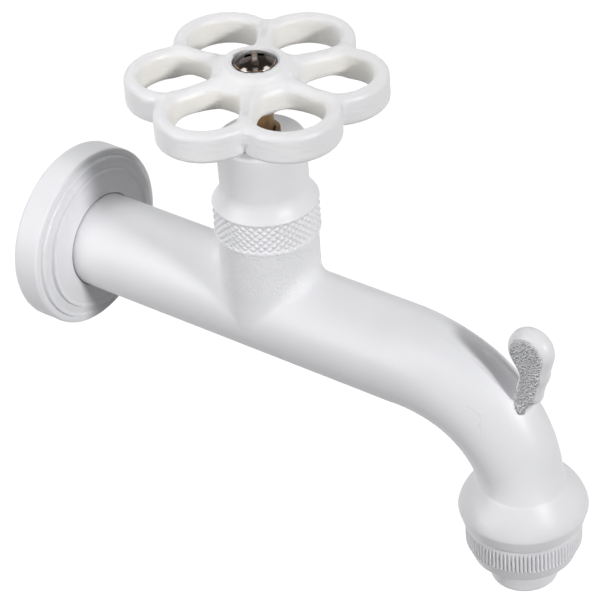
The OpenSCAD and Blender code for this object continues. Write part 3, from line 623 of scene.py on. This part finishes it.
def bodyField(p):
    # Distance to the casting's outside: the pipe less the groove, joined with boss, hook and bell by smooth unions
    # whose fillets change round each joint, and with the two cores under the threads.
    x, y, z = p.T
    along, off = spineCoords(x, z)
    rho = np.hypot(off, y)
    pipe = np.maximum(rho - skinRadius(along, off / np.maximum(rho, 1e-6)), bell["z"] + 1 - z)
    pipe = smoothMax(pipe, cast["shoulderX"] - x, cast["shoulderEdge"])
    shape = smoothMax(pipe, -grooveField(along, off, y), groove["edge"])
    fromBoss = np.hypot(x - cast["bossX"], y)
    boss = np.maximum(smoothMax(fromBoss - cast["bossR"], z - cast["bossTop"], cast["bossEdge"]), -z)
    unlike = np.clip(1 - y * y / np.maximum(fromBoss * rho, 1e-6), 0, 1)
    shape = smoothMin(shape, boss, cast["bossFillet"] * unlike ** cast["bossFade"] + 0.05)
    atRoot = ease(1.25 - fromHookRoot(x, z) / hook["softReach"])
    atRoot = atRoot * ease(0.5 + (hookRoot[0] - x) / hook["softFade"])
    shape = smoothMin(shape, hookField(p), hook["fillet"] + hook["soft"] * atRoot)
    fromDrop = np.hypot(x - cast["reach"], y)
    flare = smoothMax((fromDrop - bellRadius(z)) * bell["slope"], bell["z"] - z, bell["lipEdge"])
    flare = np.maximum(flare, z - bell["z"] - bell["h"] - bell["above"])
    facing = np.cos(np.arctan2(y, x - cast["reach"]) - math.radians(bell["softTurn"]))
    shape = smoothMin(shape, flare, bell["fillet"] + bell["soft"] * np.clip(facing, 0, 1) ** 2)
    spigot = np.maximum(fromDrop - cast["outletCore"], cast["spigotZ"] - z)
    shape = np.minimum(shape, np.maximum(spigot, z - bell["z"] - 2))
    inlet = np.maximum(np.hypot(y, z) - cast["inletCore"], cast["inletEnd"] - x)
    return np.minimum(shape, np.maximum(inlet, x - cast["shoulderX"] - 2))


reaches = {
    "far": 6.0, "flare": 4.0, "near": 1.9, "grooveEnd": 0.56, "grooveSide": 0.35, "grooveOff": 7.5, "rootR": 6.5,
    "rootOff": 9.5, "inletX": 2.6, "inletR": (8.6, 11.2), "flareZ": (-36, -18), "flareR": 22,
}


def inside(value, span):
    return (value > span[0]) & (value < span[1])


def bodyReach(p):
    # Far in the groove, whose bowl differs most from the CAD's square cut, round the hook's root and on the inlet's
    # thread, less far in the bell's flare, near elsewhere.
    x, y, z = p.T
    along, off = spineCoords(x, z)
    inGroove = inside(along, (0, reaches["grooveEnd"] * spineLen)) & (off > reaches["grooveOff"])
    inGroove &= np.abs(y) < groove["width"] / 2 + reaches["grooveSide"]
    atRoot = (fromHookRoot(x, z) < reaches["rootR"]) & (off > reaches["rootOff"])
    atInlet = (x < reaches["inletX"]) & inside(np.hypot(y, z), reaches["inletR"])
    atFlare = inside(z, reaches["flareZ"]) & (np.hypot(x - cast["reach"], y) < reaches["flareR"])
    return np.where(inGroove | atInlet | atRoot, reaches["far"], np.where(atFlare, reaches["flare"], reaches["near"]))


skin, skinPoints, onOutside = fieldSkin("tap_body", cast["voxel"], bodyField, bodyReach, rounds=7, settle=5)
faces = readArray(skin.loops, "vertex_index", 1, np.int32).reshape(-1, 4)  # all faces of a voxel skin have four corners
print("body skin:", len(skin.vertices), "points,", len(skin.polygons), "faces")

# pairs are where the grain rises from or falls to nothing, and over what band
grainMarks = {
    "nearHook": (1.0, 0.5), "face": (2.25, 0.42), "faceRise": 0.026, "hookLow": (-3.5, 1.5),
    "boss": 0.16, "bossR": (13.9, 0.2), "bossLow": (7, 6), "bossSide": (17, 3),
    "crackAt": (147.6, -12.0, -4.5), "crackReach": 6.0, "crackCore": 1.6,
}


def sandGrain(p):
    # Full on the hook's flat sides, whose edge follows the plate's rounding, and faint on the boss.
    x, y, z = p.T
    side = rise(np.abs(y) - grainMarks["faceRise"] * z, *grainMarks["face"]) * rise(z, *grainMarks["hookLow"])
    onHook = fall(np.abs(hookField(p)), *grainMarks["nearHook"])
    onBoss = rise(np.hypot(x - cast["bossX"], y), *grainMarks["bossR"]) * rise(z, *grainMarks["bossLow"])
    onBoss = onBoss * fall(np.abs(x - cast["bossX"]), *grainMarks["bossSide"])
    return np.maximum(onHook * side, onBoss * grainMarks["boss"])


def hairMark(p):
    # A soft ball on the bend's flank, inside which the coat shows hairlines.
    away = np.linalg.norm(p - np.array(grainMarks["crackAt"]), axis=1) / grainMarks["crackReach"]
    return ease(grainMarks["crackCore"] * (1 - away))


outside = onOutside[faces].sum(1) >= 2
onArm = skinPoints[faces].mean(1)[:, 0] < cast["splitX"]
for name, mask, *role in (
    ("castBody", outside & onArm, "white_coat", bodyCoat, ["tap_body"]),
    ("castBend", outside & ~onArm, "white_coat", bodyCoat),
    ("waterWay", ~outside, "brass", rawBrass),
):
    used, numbers = np.unique(faces[mask], return_inverse=True)
    piece = putMesh(name, skinPoints[used], numbers.reshape(-1, 4), "tap", *role)
    if bodyCoat in role:
        addField(piece, "sandGrain", sandGrain)
        addField(piece, "hairMark", hairMark)
    print(name + ":", len(piece.data.polygons), "faces")


thread = {
    "pitch": 1.814, "depth": 1.15, "steep": 1.25, "rootFlat": 0.12, "runOut": 1.3, "runStart": 0.15,
    "chamfer": 0.7, "chamferLen": 1.5, "sides": 96, "rowsPerPitch": 10,
}


def threadSleeve(name, start, stop, major, core, axis, centre, *role):
    # A screwed sleeve: radius = major less a rounded triangle wave of place / pitch minus turns, eased to the root at
    # both ends and chamfered at the start.
    rows = int(abs(stop - start) / thread["pitch"] * thread["rowsPerPitch"])
    profile = np.stack([np.linspace(start, stop, rows), np.full(rows, major)], 1)
    profile = np.concatenate([[[start, core]], profile, [[stop, core]]])

    def wave(along, radius, turn):
        phase = along / thread["pitch"] - turn / (2 * np.pi)
        height = np.clip(np.abs((phase % 1) * 2 - 1) * thread["steep"] - thread["rootFlat"], 0, 1)
        edge = np.minimum(np.abs(along - start), np.abs(along - stop)) / thread["runOut"]
        chamfer = thread["chamfer"] * (1 - rise(np.abs(along - start), 0, thread["chamferLen"]))
        cut = np.maximum(1 - ease(edge + thread["runStart"]), (1 - height)) * thread["depth"] + chamfer
        return along, np.where(radius > core, np.maximum(major - cut, core + 0.02), radius)

    revolve(name, profile, axis, centre, thread["sides"], "tap", *role, wave=wave, closed=False)


threadSleeve("inletThread", cast["inletEnd"] + 0.05, cast["shoulderX"] - 0.3, 10.4775, 8.9, "x", (0, 0, 0),
             "white_coat", bodyCoat)
threadSleeve("outletThread", cast["spigotZ"] + 0.05, bell["z"] + 0.3, 13.17, 11.6, "z", outletAxis, "brass", rawBrass)
print("threads made")


rosette = {
    "r": 27.0, "hole": 14.16, "rimFillet": 1.0, "sides": 288, "bead": 0.42, "beadR": (24.45, 21.05), "beadBand": 0.4,
    "nicks": 0.26, "nickSines": ((37, 1.3), (53, 0.4), (91, 2.0), (23, 0.9)), "nickLevel": (0.25, 0.5),
}
rim, bead, hole = rosette["r"], rosette["bead"], rosette["hole"]
rosetteProfile = turnedProfile([
    (0, 26.75, 0.5), (0.8, rim, 0.4), (8.62, rim, rosette["rimFillet"]), (8.62, 25.3, 0.3), (8.42, 24.95, 0.2),
    (9.3 + bead, 24.65, 0.14), (9.2 + bead, 24.1, 0.2), (9.3, 23.6, 0.3), (9.7, 21.75, 0.3), (9.5, 21.5, 0.2),
    (10.4 + bead, 21.25, 0.14), (10.3 + bead, 20.75, 0.2), (10.5, 20.2, 0.3), (11.4, hole + 0.1, 0.1), (0, hole, 0.3),
    (0, 17.3, 0.3), (8.9, 17.5, 0.5), (8.0, 20.5, 0.4), (7.0, 24.4, 0.8), (5.2, 25.35, 0.8), (0, 25.35, 0.3),
], longest=0.6)


def nickWave(along, radius, turn):
    # Small dents along the two beads, where a sum of products of sines of the angle passes a level.
    ring = sum(bellCurve(radius, r, rosette["beadBand"]) for r in rosette["beadR"])
    a, b, c, d = (np.sin(turn * count + shift) for count, shift in rosette["nickSines"])
    dents = rise(a * b + 0.7 * c * d, *rosette["nickLevel"])
    return along - rosette["nicks"] * ring * dents * (along > 8.5), radius


revolve("rosetteCup", rosetteProfile, "x", (0, 0, 0), rosette["sides"], "rosette", "rosette_coat", rosetteCoat,
        ["wall_rosette"], wave=nickWave)
print("rosette made")


shroud = {
    "base": 26.6, "bandR": 15.0, "bandTop": 36.4, "neckR": 12.45, "top": 56.0, "boreR": (5.9, 10.55, 13.0),
    "boreZ": (53.5, 34.4), "slopeFrom": 36.75, "slopeTo": 42.0, "slopePower": 1.8, "sides": 480,
    "across": 39, "pitch": 2.1, "depth": 0.62, "pillow": (1.12, 0.65), "from": 27.1, "to": 36.0, "fade": 0.35,
    "line": 0.16, "lineAt": (36.05, 27.05), "bandLow": 14.9, "bandEnd": 36.5,
}
base, top, neckR, bandR = (shroud[k] for k in ("base", "top", "neckR", "bandR"))
slopeLen = shroud["slopeTo"] - shroud["slopeFrom"]
shoulder = [(shroud["slopeFrom"] + slopeLen * u, neckR + (bandR - 0.2 - neckR) * (1 - u) ** shroud["slopePower"], 0.8)
            for u in np.linspace(0, 1, 9)]
neckBore, wideBore, skirtBore = shroud["boreR"]
roof, step = shroud["boreZ"]
shroudProfile = turnedProfile([
    (base, bandR, 0.3), (shroud["bandTop"], bandR, 0.2), *shoulder, (top, neckR, 0.9), (top, neckBore, 0.4),
    (roof, neckBore, 0.2), (roof, wideBore, 0.2), (step, wideBore, 0.2), (step, skirtBore, 0.2), (base, skirtBore, 0.2),
], longest=0.24)
# rows that coincide go, and outside the knurled band only every fourth row of a straight stretch stays
apart = np.linalg.norm(np.diff(shroudProfile, axis=0), axis=1) > 1e-4
shroudProfile = shroudProfile[np.concatenate([[True], apart])]
inBand = (shroudProfile[:, 1] > shroud["bandLow"]) & (shroudProfile[:, 0] < shroud["bandEnd"])
curved = np.abs(np.gradient(np.gradient(shroudProfile[:, 1]))) > 0.01
shroudProfile = shroudProfile[inBand | (np.arange(len(shroudProfile)) % 4 == 0) | curved]


def knurlWave(along, radius, turn):
    # Crossed V grooves: the lower of two triangle waves of turns times count plus and minus place over pitch, as a
    # pillow, with a thin turned line at each end of the band.
    onBand = (radius > shroud["bandLow"]) * (along < shroud["bandEnd"])
    zone = rise(along, shroud["from"], shroud["fade"]) * fall(along, shroud["to"], shroud["fade"]) * onBand
    turns = turn / (2 * np.pi) * shroud["across"]
    first, second = (np.abs(((turns + sign * along / shroud["pitch"]) % 1) * 2 - 1) for sign in (1, -1))
    gain, power = shroud["pillow"]
    height = np.clip(np.minimum(first, second) * gain, 0, 1) ** power
    lines = sum(bellCurve(along, place, shroud["line"]) for place in shroud["lineAt"])
    return along, radius - shroud["depth"] * (1 - height) * zone - shroud["line"] * lines * onBand


shroudTurned = revolve("shroudTurned", shroudProfile, "z", wheelAxis, shroud["sides"], "tap", "shroud_coat",
                       shroudCoat, ["shroud"], wave=knurlWave)
print("shroud made:", len(shroudTurned.data.polygons), "faces")


wheel = {
    "low": 67.8, "high": 76.5, "ringR": 21.8, "outer": 14.2, "inner": 10.0, "edge": 1.7, "edgeLow": 1.3,
    "rise": 1.9, "riseR": (27, 7), "seam": 0.12, "seamSoft": 2.6, "seamZ": (68.6, 4.5),
    "spokeHalf": 2.15, "spokeLow": 69.5, "spokeIn": 78.2, "spokeOut": 75.7, "spokeLen": 25.8, "spokeEdge": 2.1,
    "spokeEnd": 26.2, "spokeFillet": 1.7, "hubTop": 79.7, "hubLow": 66.4, "hubSlope": 0.92, "recessR": 6.05,
    "recessZ": 78.2, "hubFillet": 3.2, "voxel": 0.42, "moved": 2.4, "wall": (10.7, 0.6), "wallTop": (76.3, 1.5),
}
hubZ = [60, 66.4, 67.4, 70.6, 74.2, 77.8, 79.3, 80.0, 80.6, 84]
hubR = [6.9, 7.0, 7.9, 9.7, 10.4, 9.9, 9.05, 8.2, 7.3, 3.0]


def roundedBox(a, b, halfA, halfB, edge):
    # Distance to a rectangle with rounded corners.
    qa, qb = np.abs(a) - halfA + edge, np.abs(b) - halfB + edge
    return np.hypot(np.maximum(qa, 0), np.maximum(qb, 0)) + np.minimum(np.maximum(qa, qb), 0) - edge


def foldedSixth(p):
    # Distance from the wheel's axis, and the place in one sixth of the wheel, folded about the middle of its loop.
    x, y = p[:, 0] - cast["bossX"], p[:, 1]
    rho = np.hypot(x, y)
    angle = np.abs((np.arctan2(y, x) % (np.pi / 3)) - np.pi / 6)
    return rho, rho * np.cos(angle), rho * np.sin(angle)


def wheelField(p):
    # One sixth of the wheel, folded: its own loop, the next loop's edge, the spoke between them, and the hub.
    # The underside rises towards the hub.
    z = p[:, 2]
    rho, u, v = foldedSixth(p)
    middle, half = (wheel["outer"] + wheel["inner"]) / 2, (wheel["outer"] - wheel["inner"]) / 2
    low = wheel["low"] + wheel["rise"] * fall(rho, *wheel["riseR"])
    zMid, zHalf = (low + wheel["high"]) / 2, (wheel["high"] - low) / 2
    edge = np.where(z > zMid, wheel["edge"], wheel["edgeLow"])
    own = roundedBox(np.hypot(u - wheel["ringR"], v) - middle, z - zMid, half, zHalf, edge)
    slant = math.sqrt(3) / 2
    seam, out = u * 0.5 - v * slant, u * slant + v * 0.5
    fromOther = np.hypot(u - wheel["ringR"] / 2, v - wheel["ringR"] * slant)
    other = roundedBox(fromOther - middle, z - zMid, half, zHalf, edge)
    soft = wheel["seam"] + wheel["seamSoft"] * rise(z, *wheel["seamZ"])
    shape = smoothMin(own, np.maximum(other, seam), soft)
    low, top = wheel["spokeLow"], wheel["spokeIn"] + (wheel["spokeOut"] - wheel["spokeIn"]) * out / wheel["spokeLen"]
    spoke = roundedBox(seam, z - (top + low) / 2, wheel["spokeHalf"], (top - low) / 2, wheel["spokeEdge"])
    shape = smoothMin(shape, np.maximum(spoke, out - wheel["spokeEnd"]), wheel["spokeFillet"])
    hub = (rho - np.interp(z, hubZ, hubR)) * wheel["hubSlope"]
    hub = smoothMax(smoothMax(hub, z - wheel["hubTop"], 0.5), wheel["hubLow"] - z, 0.6)
    shape = smoothMin(shape, hub, wheel["hubFillet"])
    return smoothMax(shape, -np.maximum(rho - wheel["recessR"], wheel["recessZ"] - z), 0.4)


def innerWall(p):
    # Full on the walls inside the six loops, below their rounded top edge.
    _, u, v = foldedSixth(p)
    return fall(np.hypot(u - wheel["ringR"], v), *wheel["wall"]) * fall(p[:, 2], *wheel["wallTop"])


wheelSkin = fieldSkin("handwheel", wheel["voxel"], wheelField, lambda p: wheel["moved"], facing=0.2)[0]
flowerWheel = placeMesh("flowerWheel", wheelSkin, "wheel", "wheel_coat", wheelCoat, ["handwheel"])
addField(flowerWheel, "innerWall", innerWall)
print("handwheel made:", len(flowerWheel.data.polygons), "faces")


# The rim, wall, bed, back and sheen settings place painted highlights and reflections on the chrome, with some wear;
# the two rim highlights sit either side of the turn, which faces the camera.
screw = {
    "headR": 5.85, "z": 79.0, "rim": 0.6, "rise": 2.2, "sides": 300, "slotHalf": 0.8, "slotDepth": 1.7,
    "slotEdge": 0.14, "armHalf": 0.65, "armReach": 2.9, "armEnd": 0.9, "armDepth": 1.3, "turn": -51.4,
    "rimFrom": 5.3, "glintTurn": 0.58, "glintWide": 0.17, "rimGlint": (0.36, 0.64), "wallGleam": 0.34, "bedTone": 0.26,
    "backSheen": 0.46, "sheenLevel": 0.75, "sheen": ((-3.1, -2.4), (-3.9, 1.9)), "leastLevel": 0.02,
}
ballR = (screw["headR"] ** 2 + screw["rise"] ** 2) / (2 * screw["rise"])


def screwWave(along, radius, turn):
    # The dome less a through slot and a shorter cross arm, each with steep sides.
    local = turn - math.radians(screw["turn"])
    u, v = radius * np.cos(local), radius * np.sin(local)
    slot = ease((screw["slotHalf"] - np.abs(v)) / screw["slotEdge"] + 0.5) * screw["slotDepth"]
    arm = ease((screw["armHalf"] - np.abs(u)) / screw["slotEdge"] + 0.5)
    arm = arm * fall(np.abs(v), screw["armReach"], screw["armEnd"]) * screw["armDepth"]
    rimTop = screw["z"] + screw["rim"]
    cut = np.maximum(along - np.maximum(slot, arm), np.minimum(along, rimTop - 0.1))
    return np.where(along > rimTop - 0.05, cut, along), radius


domeR = np.concatenate([np.linspace(0.0, screw["headR"] - 0.25, 110), [screw["headR"] - 0.15, screw["headR"] - 0.06]])
domeZ = screw["z"] + screw["rim"] + screw["rise"] - ballR + np.sqrt(ballR ** 2 - domeR ** 2)
headLow = screw["z"]
under = np.array([(headLow + 0.5, 5.7), (headLow + 0.1, 5.7), (headLow, 5.6), (headLow, 2.1), (headLow - 0.1, 1.95),
                  (66, 1.95), (64.4, 1.95), (64.0, 1.4), (64.0, 0.0)])
screwProfile = np.concatenate([np.stack([domeZ, domeR], 1), under])
domeScrew = revolve("domeScrew", screwProfile, "z", wheelAxis, screw["sides"], "wheel", "chrome", chrome,
                    ["handwheel_screw"], wave=screwWave, closed=False)


def paintedGlintsAndWear(p):
    # Level of painted highlights and reflections, with some wear, the largest of: two painted highlights of the rim and
    # the rest of it, a patch inside each, the slot's bed and walls, a painted sheen on the dome's back and two small
    # ones.
    x, y = p[:, 0] - cast["bossX"], p[:, 1]
    turn = math.radians(screw["turn"])
    u, v = x * math.cos(turn) + y * math.sin(turn), y * math.cos(turn) - x * math.sin(turn)
    out, side = np.hypot(x, y) - screw["rimFrom"], np.abs(v)
    glints = bellCurve(np.abs(np.arctan2(v, u)), screw["glintTurn"], screw["glintWide"])
    levels = (
        rise(out, 0, 0.3) * (screw["rimGlint"][0] + screw["rimGlint"][1] * glints),
        rise(out, -0.7, 0.7) * glints,
        screw["bedTone"] * fall(side, screw["slotHalf"], 0.3),
        screw["wallGleam"] * bellCurve(side, screw["slotHalf"], 0.2),
        screw["backSheen"] * rise(-u, 3.1, 1.2) * rise(side, 0.9, 0.4),
        sum(screw["sheenLevel"] * bellCurve(u, a, 0.45) * bellCurve(v, b, 0.7) for a, b in screw["sheen"]),
    )
    return np.max(levels, axis=0) + screw["leastLevel"]


addField(domeScrew, "paintedGlintsAndWear", paintedGlintsAndWear)
print("screw made")


nut = {
    "top": -40.933, "gripTop": -42.73, "gripLow": -48.5, "low": -52.689, "crestR": 16.2, "crestIn": 0.35,
    "rootR": 15.6, "footR": 14.3, "bore": 13.22, "lipR": 9.7, "floor": -51.189, "flutes": 90, "sides": 720,
    "fade": 0.3, "outer": 15, "collar": 0.07, "collarRing": 3.6, "collarBand": 0.2, "ringBand": 0.18,
}
nutR = nut["crestR"] - nut["crestIn"]
nutProfile = turnedProfile([
    (nut["top"], nutR, 0.35), (nut["gripLow"] + 0.02, nutR, 0.5), (nut["low"], nut["footR"], 0.9),
    (nut["low"], nut["lipR"], 0.25), (nut["floor"], nut["lipR"], 0.1), (nut["floor"], nut["bore"], 0.2),
    (nut["top"], nut["bore"], 0.4),
], longest=0.5)


def fluteWave(along, radius, turn):
    # Raised ribs: a clipped cosine of the angle times the rib count, inside the grip only, and a low collar above it
    # that starts with a ring.
    outer = radius > nut["outer"]
    zone = rise(along, nut["gripLow"], nut["fade"]) * fall(along, nut["gripTop"], nut["fade"]) * outer
    rib = ease(np.cos(turn * nut["flutes"]) * 1.1 + 0.5)
    above = along - nut["gripTop"]
    ring = nut["collarRing"] * bellCurve(above, nut["collarBand"], nut["ringBand"])
    collar = (ease(above / nut["collarBand"]) + ring) * outer * nut["collar"]
    return along, radius + zone * ((nut["rootR"] - nutR) * (1 - rib) + nut["crestIn"] * rib) + collar


revolve("flutedNut", nutProfile, "z", outletAxis, nut["sides"], "nut", "nut_coat", nutCoat, ["outlet_nut"],
        wave=fluteWave)
nozzle = {
    "flange": -49.689, "under": -51.189, "relief": -53.289, "reliefIn": 0.4, "low": -61.289, "flangeR": 12.87,
    "r": 9.4, "bore": 7.3, "lip": 6.5, "lipH": 0.8, "sides": 192,
}
flange, under, relief, low, r = (nozzle[k] for k in ("flange", "under", "relief", "low", "r"))
reliefR, lipTop = r - nozzle["reliefIn"], low + nozzle["lipH"]
nozzleProfile = turnedProfile([
    (flange, nozzle["flangeR"], 0.25), (under, nozzle["flangeR"], 0.25), (under, reliefR, 0.15),
    (relief, reliefR, 0.1), (relief, r, 0.12), (low, r, 0.9), (low, nozzle["lip"], 0.25), (lipTop, nozzle["lip"], 0.15),
    (lipTop, nozzle["bore"], 0.1), (flange, nozzle["bore"], 0.2),
], longest=1.0)
revolve("hoseNozzle", nozzleProfile, "z", outletAxis, nozzle["sides"], "nozzle", "nut_coat", nutCoat, ["outlet_nozzle"])
print("nut and nozzle made")


# CAD nodes that keep their own shape.
# The gland nut and spindle take the darker brass copy, a painted shade.
finishes = {
    "valve_seat": brass, "bonnet_gasket": fibre, "headwork_body": brass, "stem_packing": packing,
    "packing_follower": brass, "gland_nut": shadedBrass, "spindle": shadedBrass, "jumper_valve": brass,
    "valve_washer": rubber, "washer_nut": brass, "screw_washer": zinc, "outlet_washer": rubber, "jet_former": packing,
}
for name, material in finishes.items():
    if nodes[name].material_slots:
        nodes[name].material_slots[0].material = material
    else:
        nodes[name].data.materials.append(material)
print("CAD nodes finished:", len(finishes))


# turns in degrees, the shift of the view in mm, and the focal length in pixels of the photo's longer side
camera = {
    "azimuth": 38.63, "elevation": 35.38, "roll": -4.18, "target": (72.593, 0, 0), "distance": 807.25,
    "right": -8.493, "up": -0.124, "focalPixels": 2845.32, "longSide": 603, "sensor": 36,
}
az, el, roll = (math.radians(camera[k]) for k in ("azimuth", "elevation", "roll"))
back = np.array([math.sin(az) * math.cos(el), -math.cos(az) * math.cos(el), math.sin(el)])
right = np.array([math.cos(az), math.sin(az), 0.0])
up = np.cross(back, right)
rightTurned = right * math.cos(roll) + up * math.sin(roll)
upTurned = -right * math.sin(roll) + up * math.cos(roll)
away = np.array(camera["target"]) + back * camera["distance"]
eye = (away - rightTurned * camera["right"] - upTurned * camera["up"]) * mm
lens = bpy.data.cameras.new("photoCamera")
lens.sensor_width = camera["sensor"]
lens.lens = camera["focalPixels"] * camera["sensor"] / camera["longSide"]
lens.clip_start, lens.clip_end = 0.01, 50
cameraObject = addObject("photoCamera", lens)
turned = Matrix((rightTurned, upTurned, back)).transposed().to_4x4()
cameraObject.matrix_world = Matrix.Translation(Vector(eye)) @ turned
bpy.context.scene.camera = cameraObject


def seenDirectly(tree):
    # 1 for rays that show what lies behind the tap: from the camera, off gloss and through glass.
    rays = addNode(tree, "LightPath", {}).outputs
    bent = mathNode(tree, "MAXIMUM", rays["Is Glossy Ray"], rays["Is Transmission Ray"])
    return mathNode(tree, "MAXIMUM", rays["Is Camera Ray"], bent)


# z and half width in metres
floorSettings = {"z": -0.55, "half": 6.0, "albedo": 0.2, "roughness": 0.9, "glow": 1.0}
floorMesh = bpy.data.meshes.new("paleFloor")
h, z = floorSettings["half"], floorSettings["z"]
floorMesh.from_pydata([(-h, -h, z), (h, -h, z), (h, h, z), (-h, h, z)], [], [(0, 1, 2, 3)])
floor = addObject("paleFloor", floorMesh)
floorColour = (floorSettings["albedo"],) * 3
floorMaterial, tree, shader = startMaterial("paleFloor", floorColour, 0, floorSettings["roughness"])
shader["Specular IOR Level"].default_value = 0.0
shader["Emission Color"].default_value = (1, 1, 1, 1)
tree.links.new(times(tree, seenDirectly(tree), floorSettings["glow"]), shader["Emission Strength"])
floorMesh.materials.append(floorMaterial)

# aim and all lengths of the lamps in metres
light = {
    "world": 0.09, "worldColour": (0.97, 0.98, 1.0, 1), "aim": (0.09, 0, 0),
    # name: degrees right of the camera, degrees up, width, power, and distance where it is not 1 m
    "boxes": {
        "keyRight": (42, 24, 0.26, 26.0, 2.0), "highLeft": (-52, 48, 0.5, 2.1), "broadLeft": (-65, 15, 0.3, 1.26, 0.55),
        "sideBack": (-125, 30, 0.5, 0.8), "backLeft": (-150, 45, 0.5, 1.8), "edgeRight": (100, 10, 0.5, 0.35),
        "backRight": (140, 30, 0.5, 1.1), "behind": (180, 30, 0.5, 0.8),
    },
}
world = bpy.data.worlds.new("studio")
bpy.context.scene.world = world
world.use_nodes = True
tree = world.node_tree
tree.nodes.clear()
plain = addNode(tree, "Background", {"Color": light["worldColour"], "Strength": light["world"]})
white = addNode(tree, "Background", {"Color": (1, 1, 1, 1), "Strength": 1.0})
blend = addNode(tree, "MixShader", {0: seenDirectly(tree), 1: plain.outputs[0], 2: white.outputs[0]})
addNode(tree, "OutputWorld", {"Surface": blend.outputs[0]})


def softBox(name, side, height, width, power, distance=1.0):
    # A round area lamp placed by its angles from the camera's own direction, and aimed at the middle of the tap.
    around, above = math.radians(camera["azimuth"] + side), math.radians(height)
    aim = Vector(light["aim"])
    away = Vector((math.sin(around) * math.cos(above), -math.cos(around) * math.cos(above), math.sin(above)))
    place = aim + distance * away
    data = bpy.data.lights.new(name, "AREA")
    data.shape = "DISK"
    data.size = width
    data.energy = power
    lamp = addObject(name, data)
    lamp.location = place
    lamp.rotation_mode = "QUATERNION"
    lamp.rotation_quaternion = (aim - place).to_track_quat("-Z", "Y")


for name, settings in light["boxes"].items():
    softBox(name, *settings)
bpy.context.scene.view_settings.view_transform = "Standard"
print("camera, floor and light made")
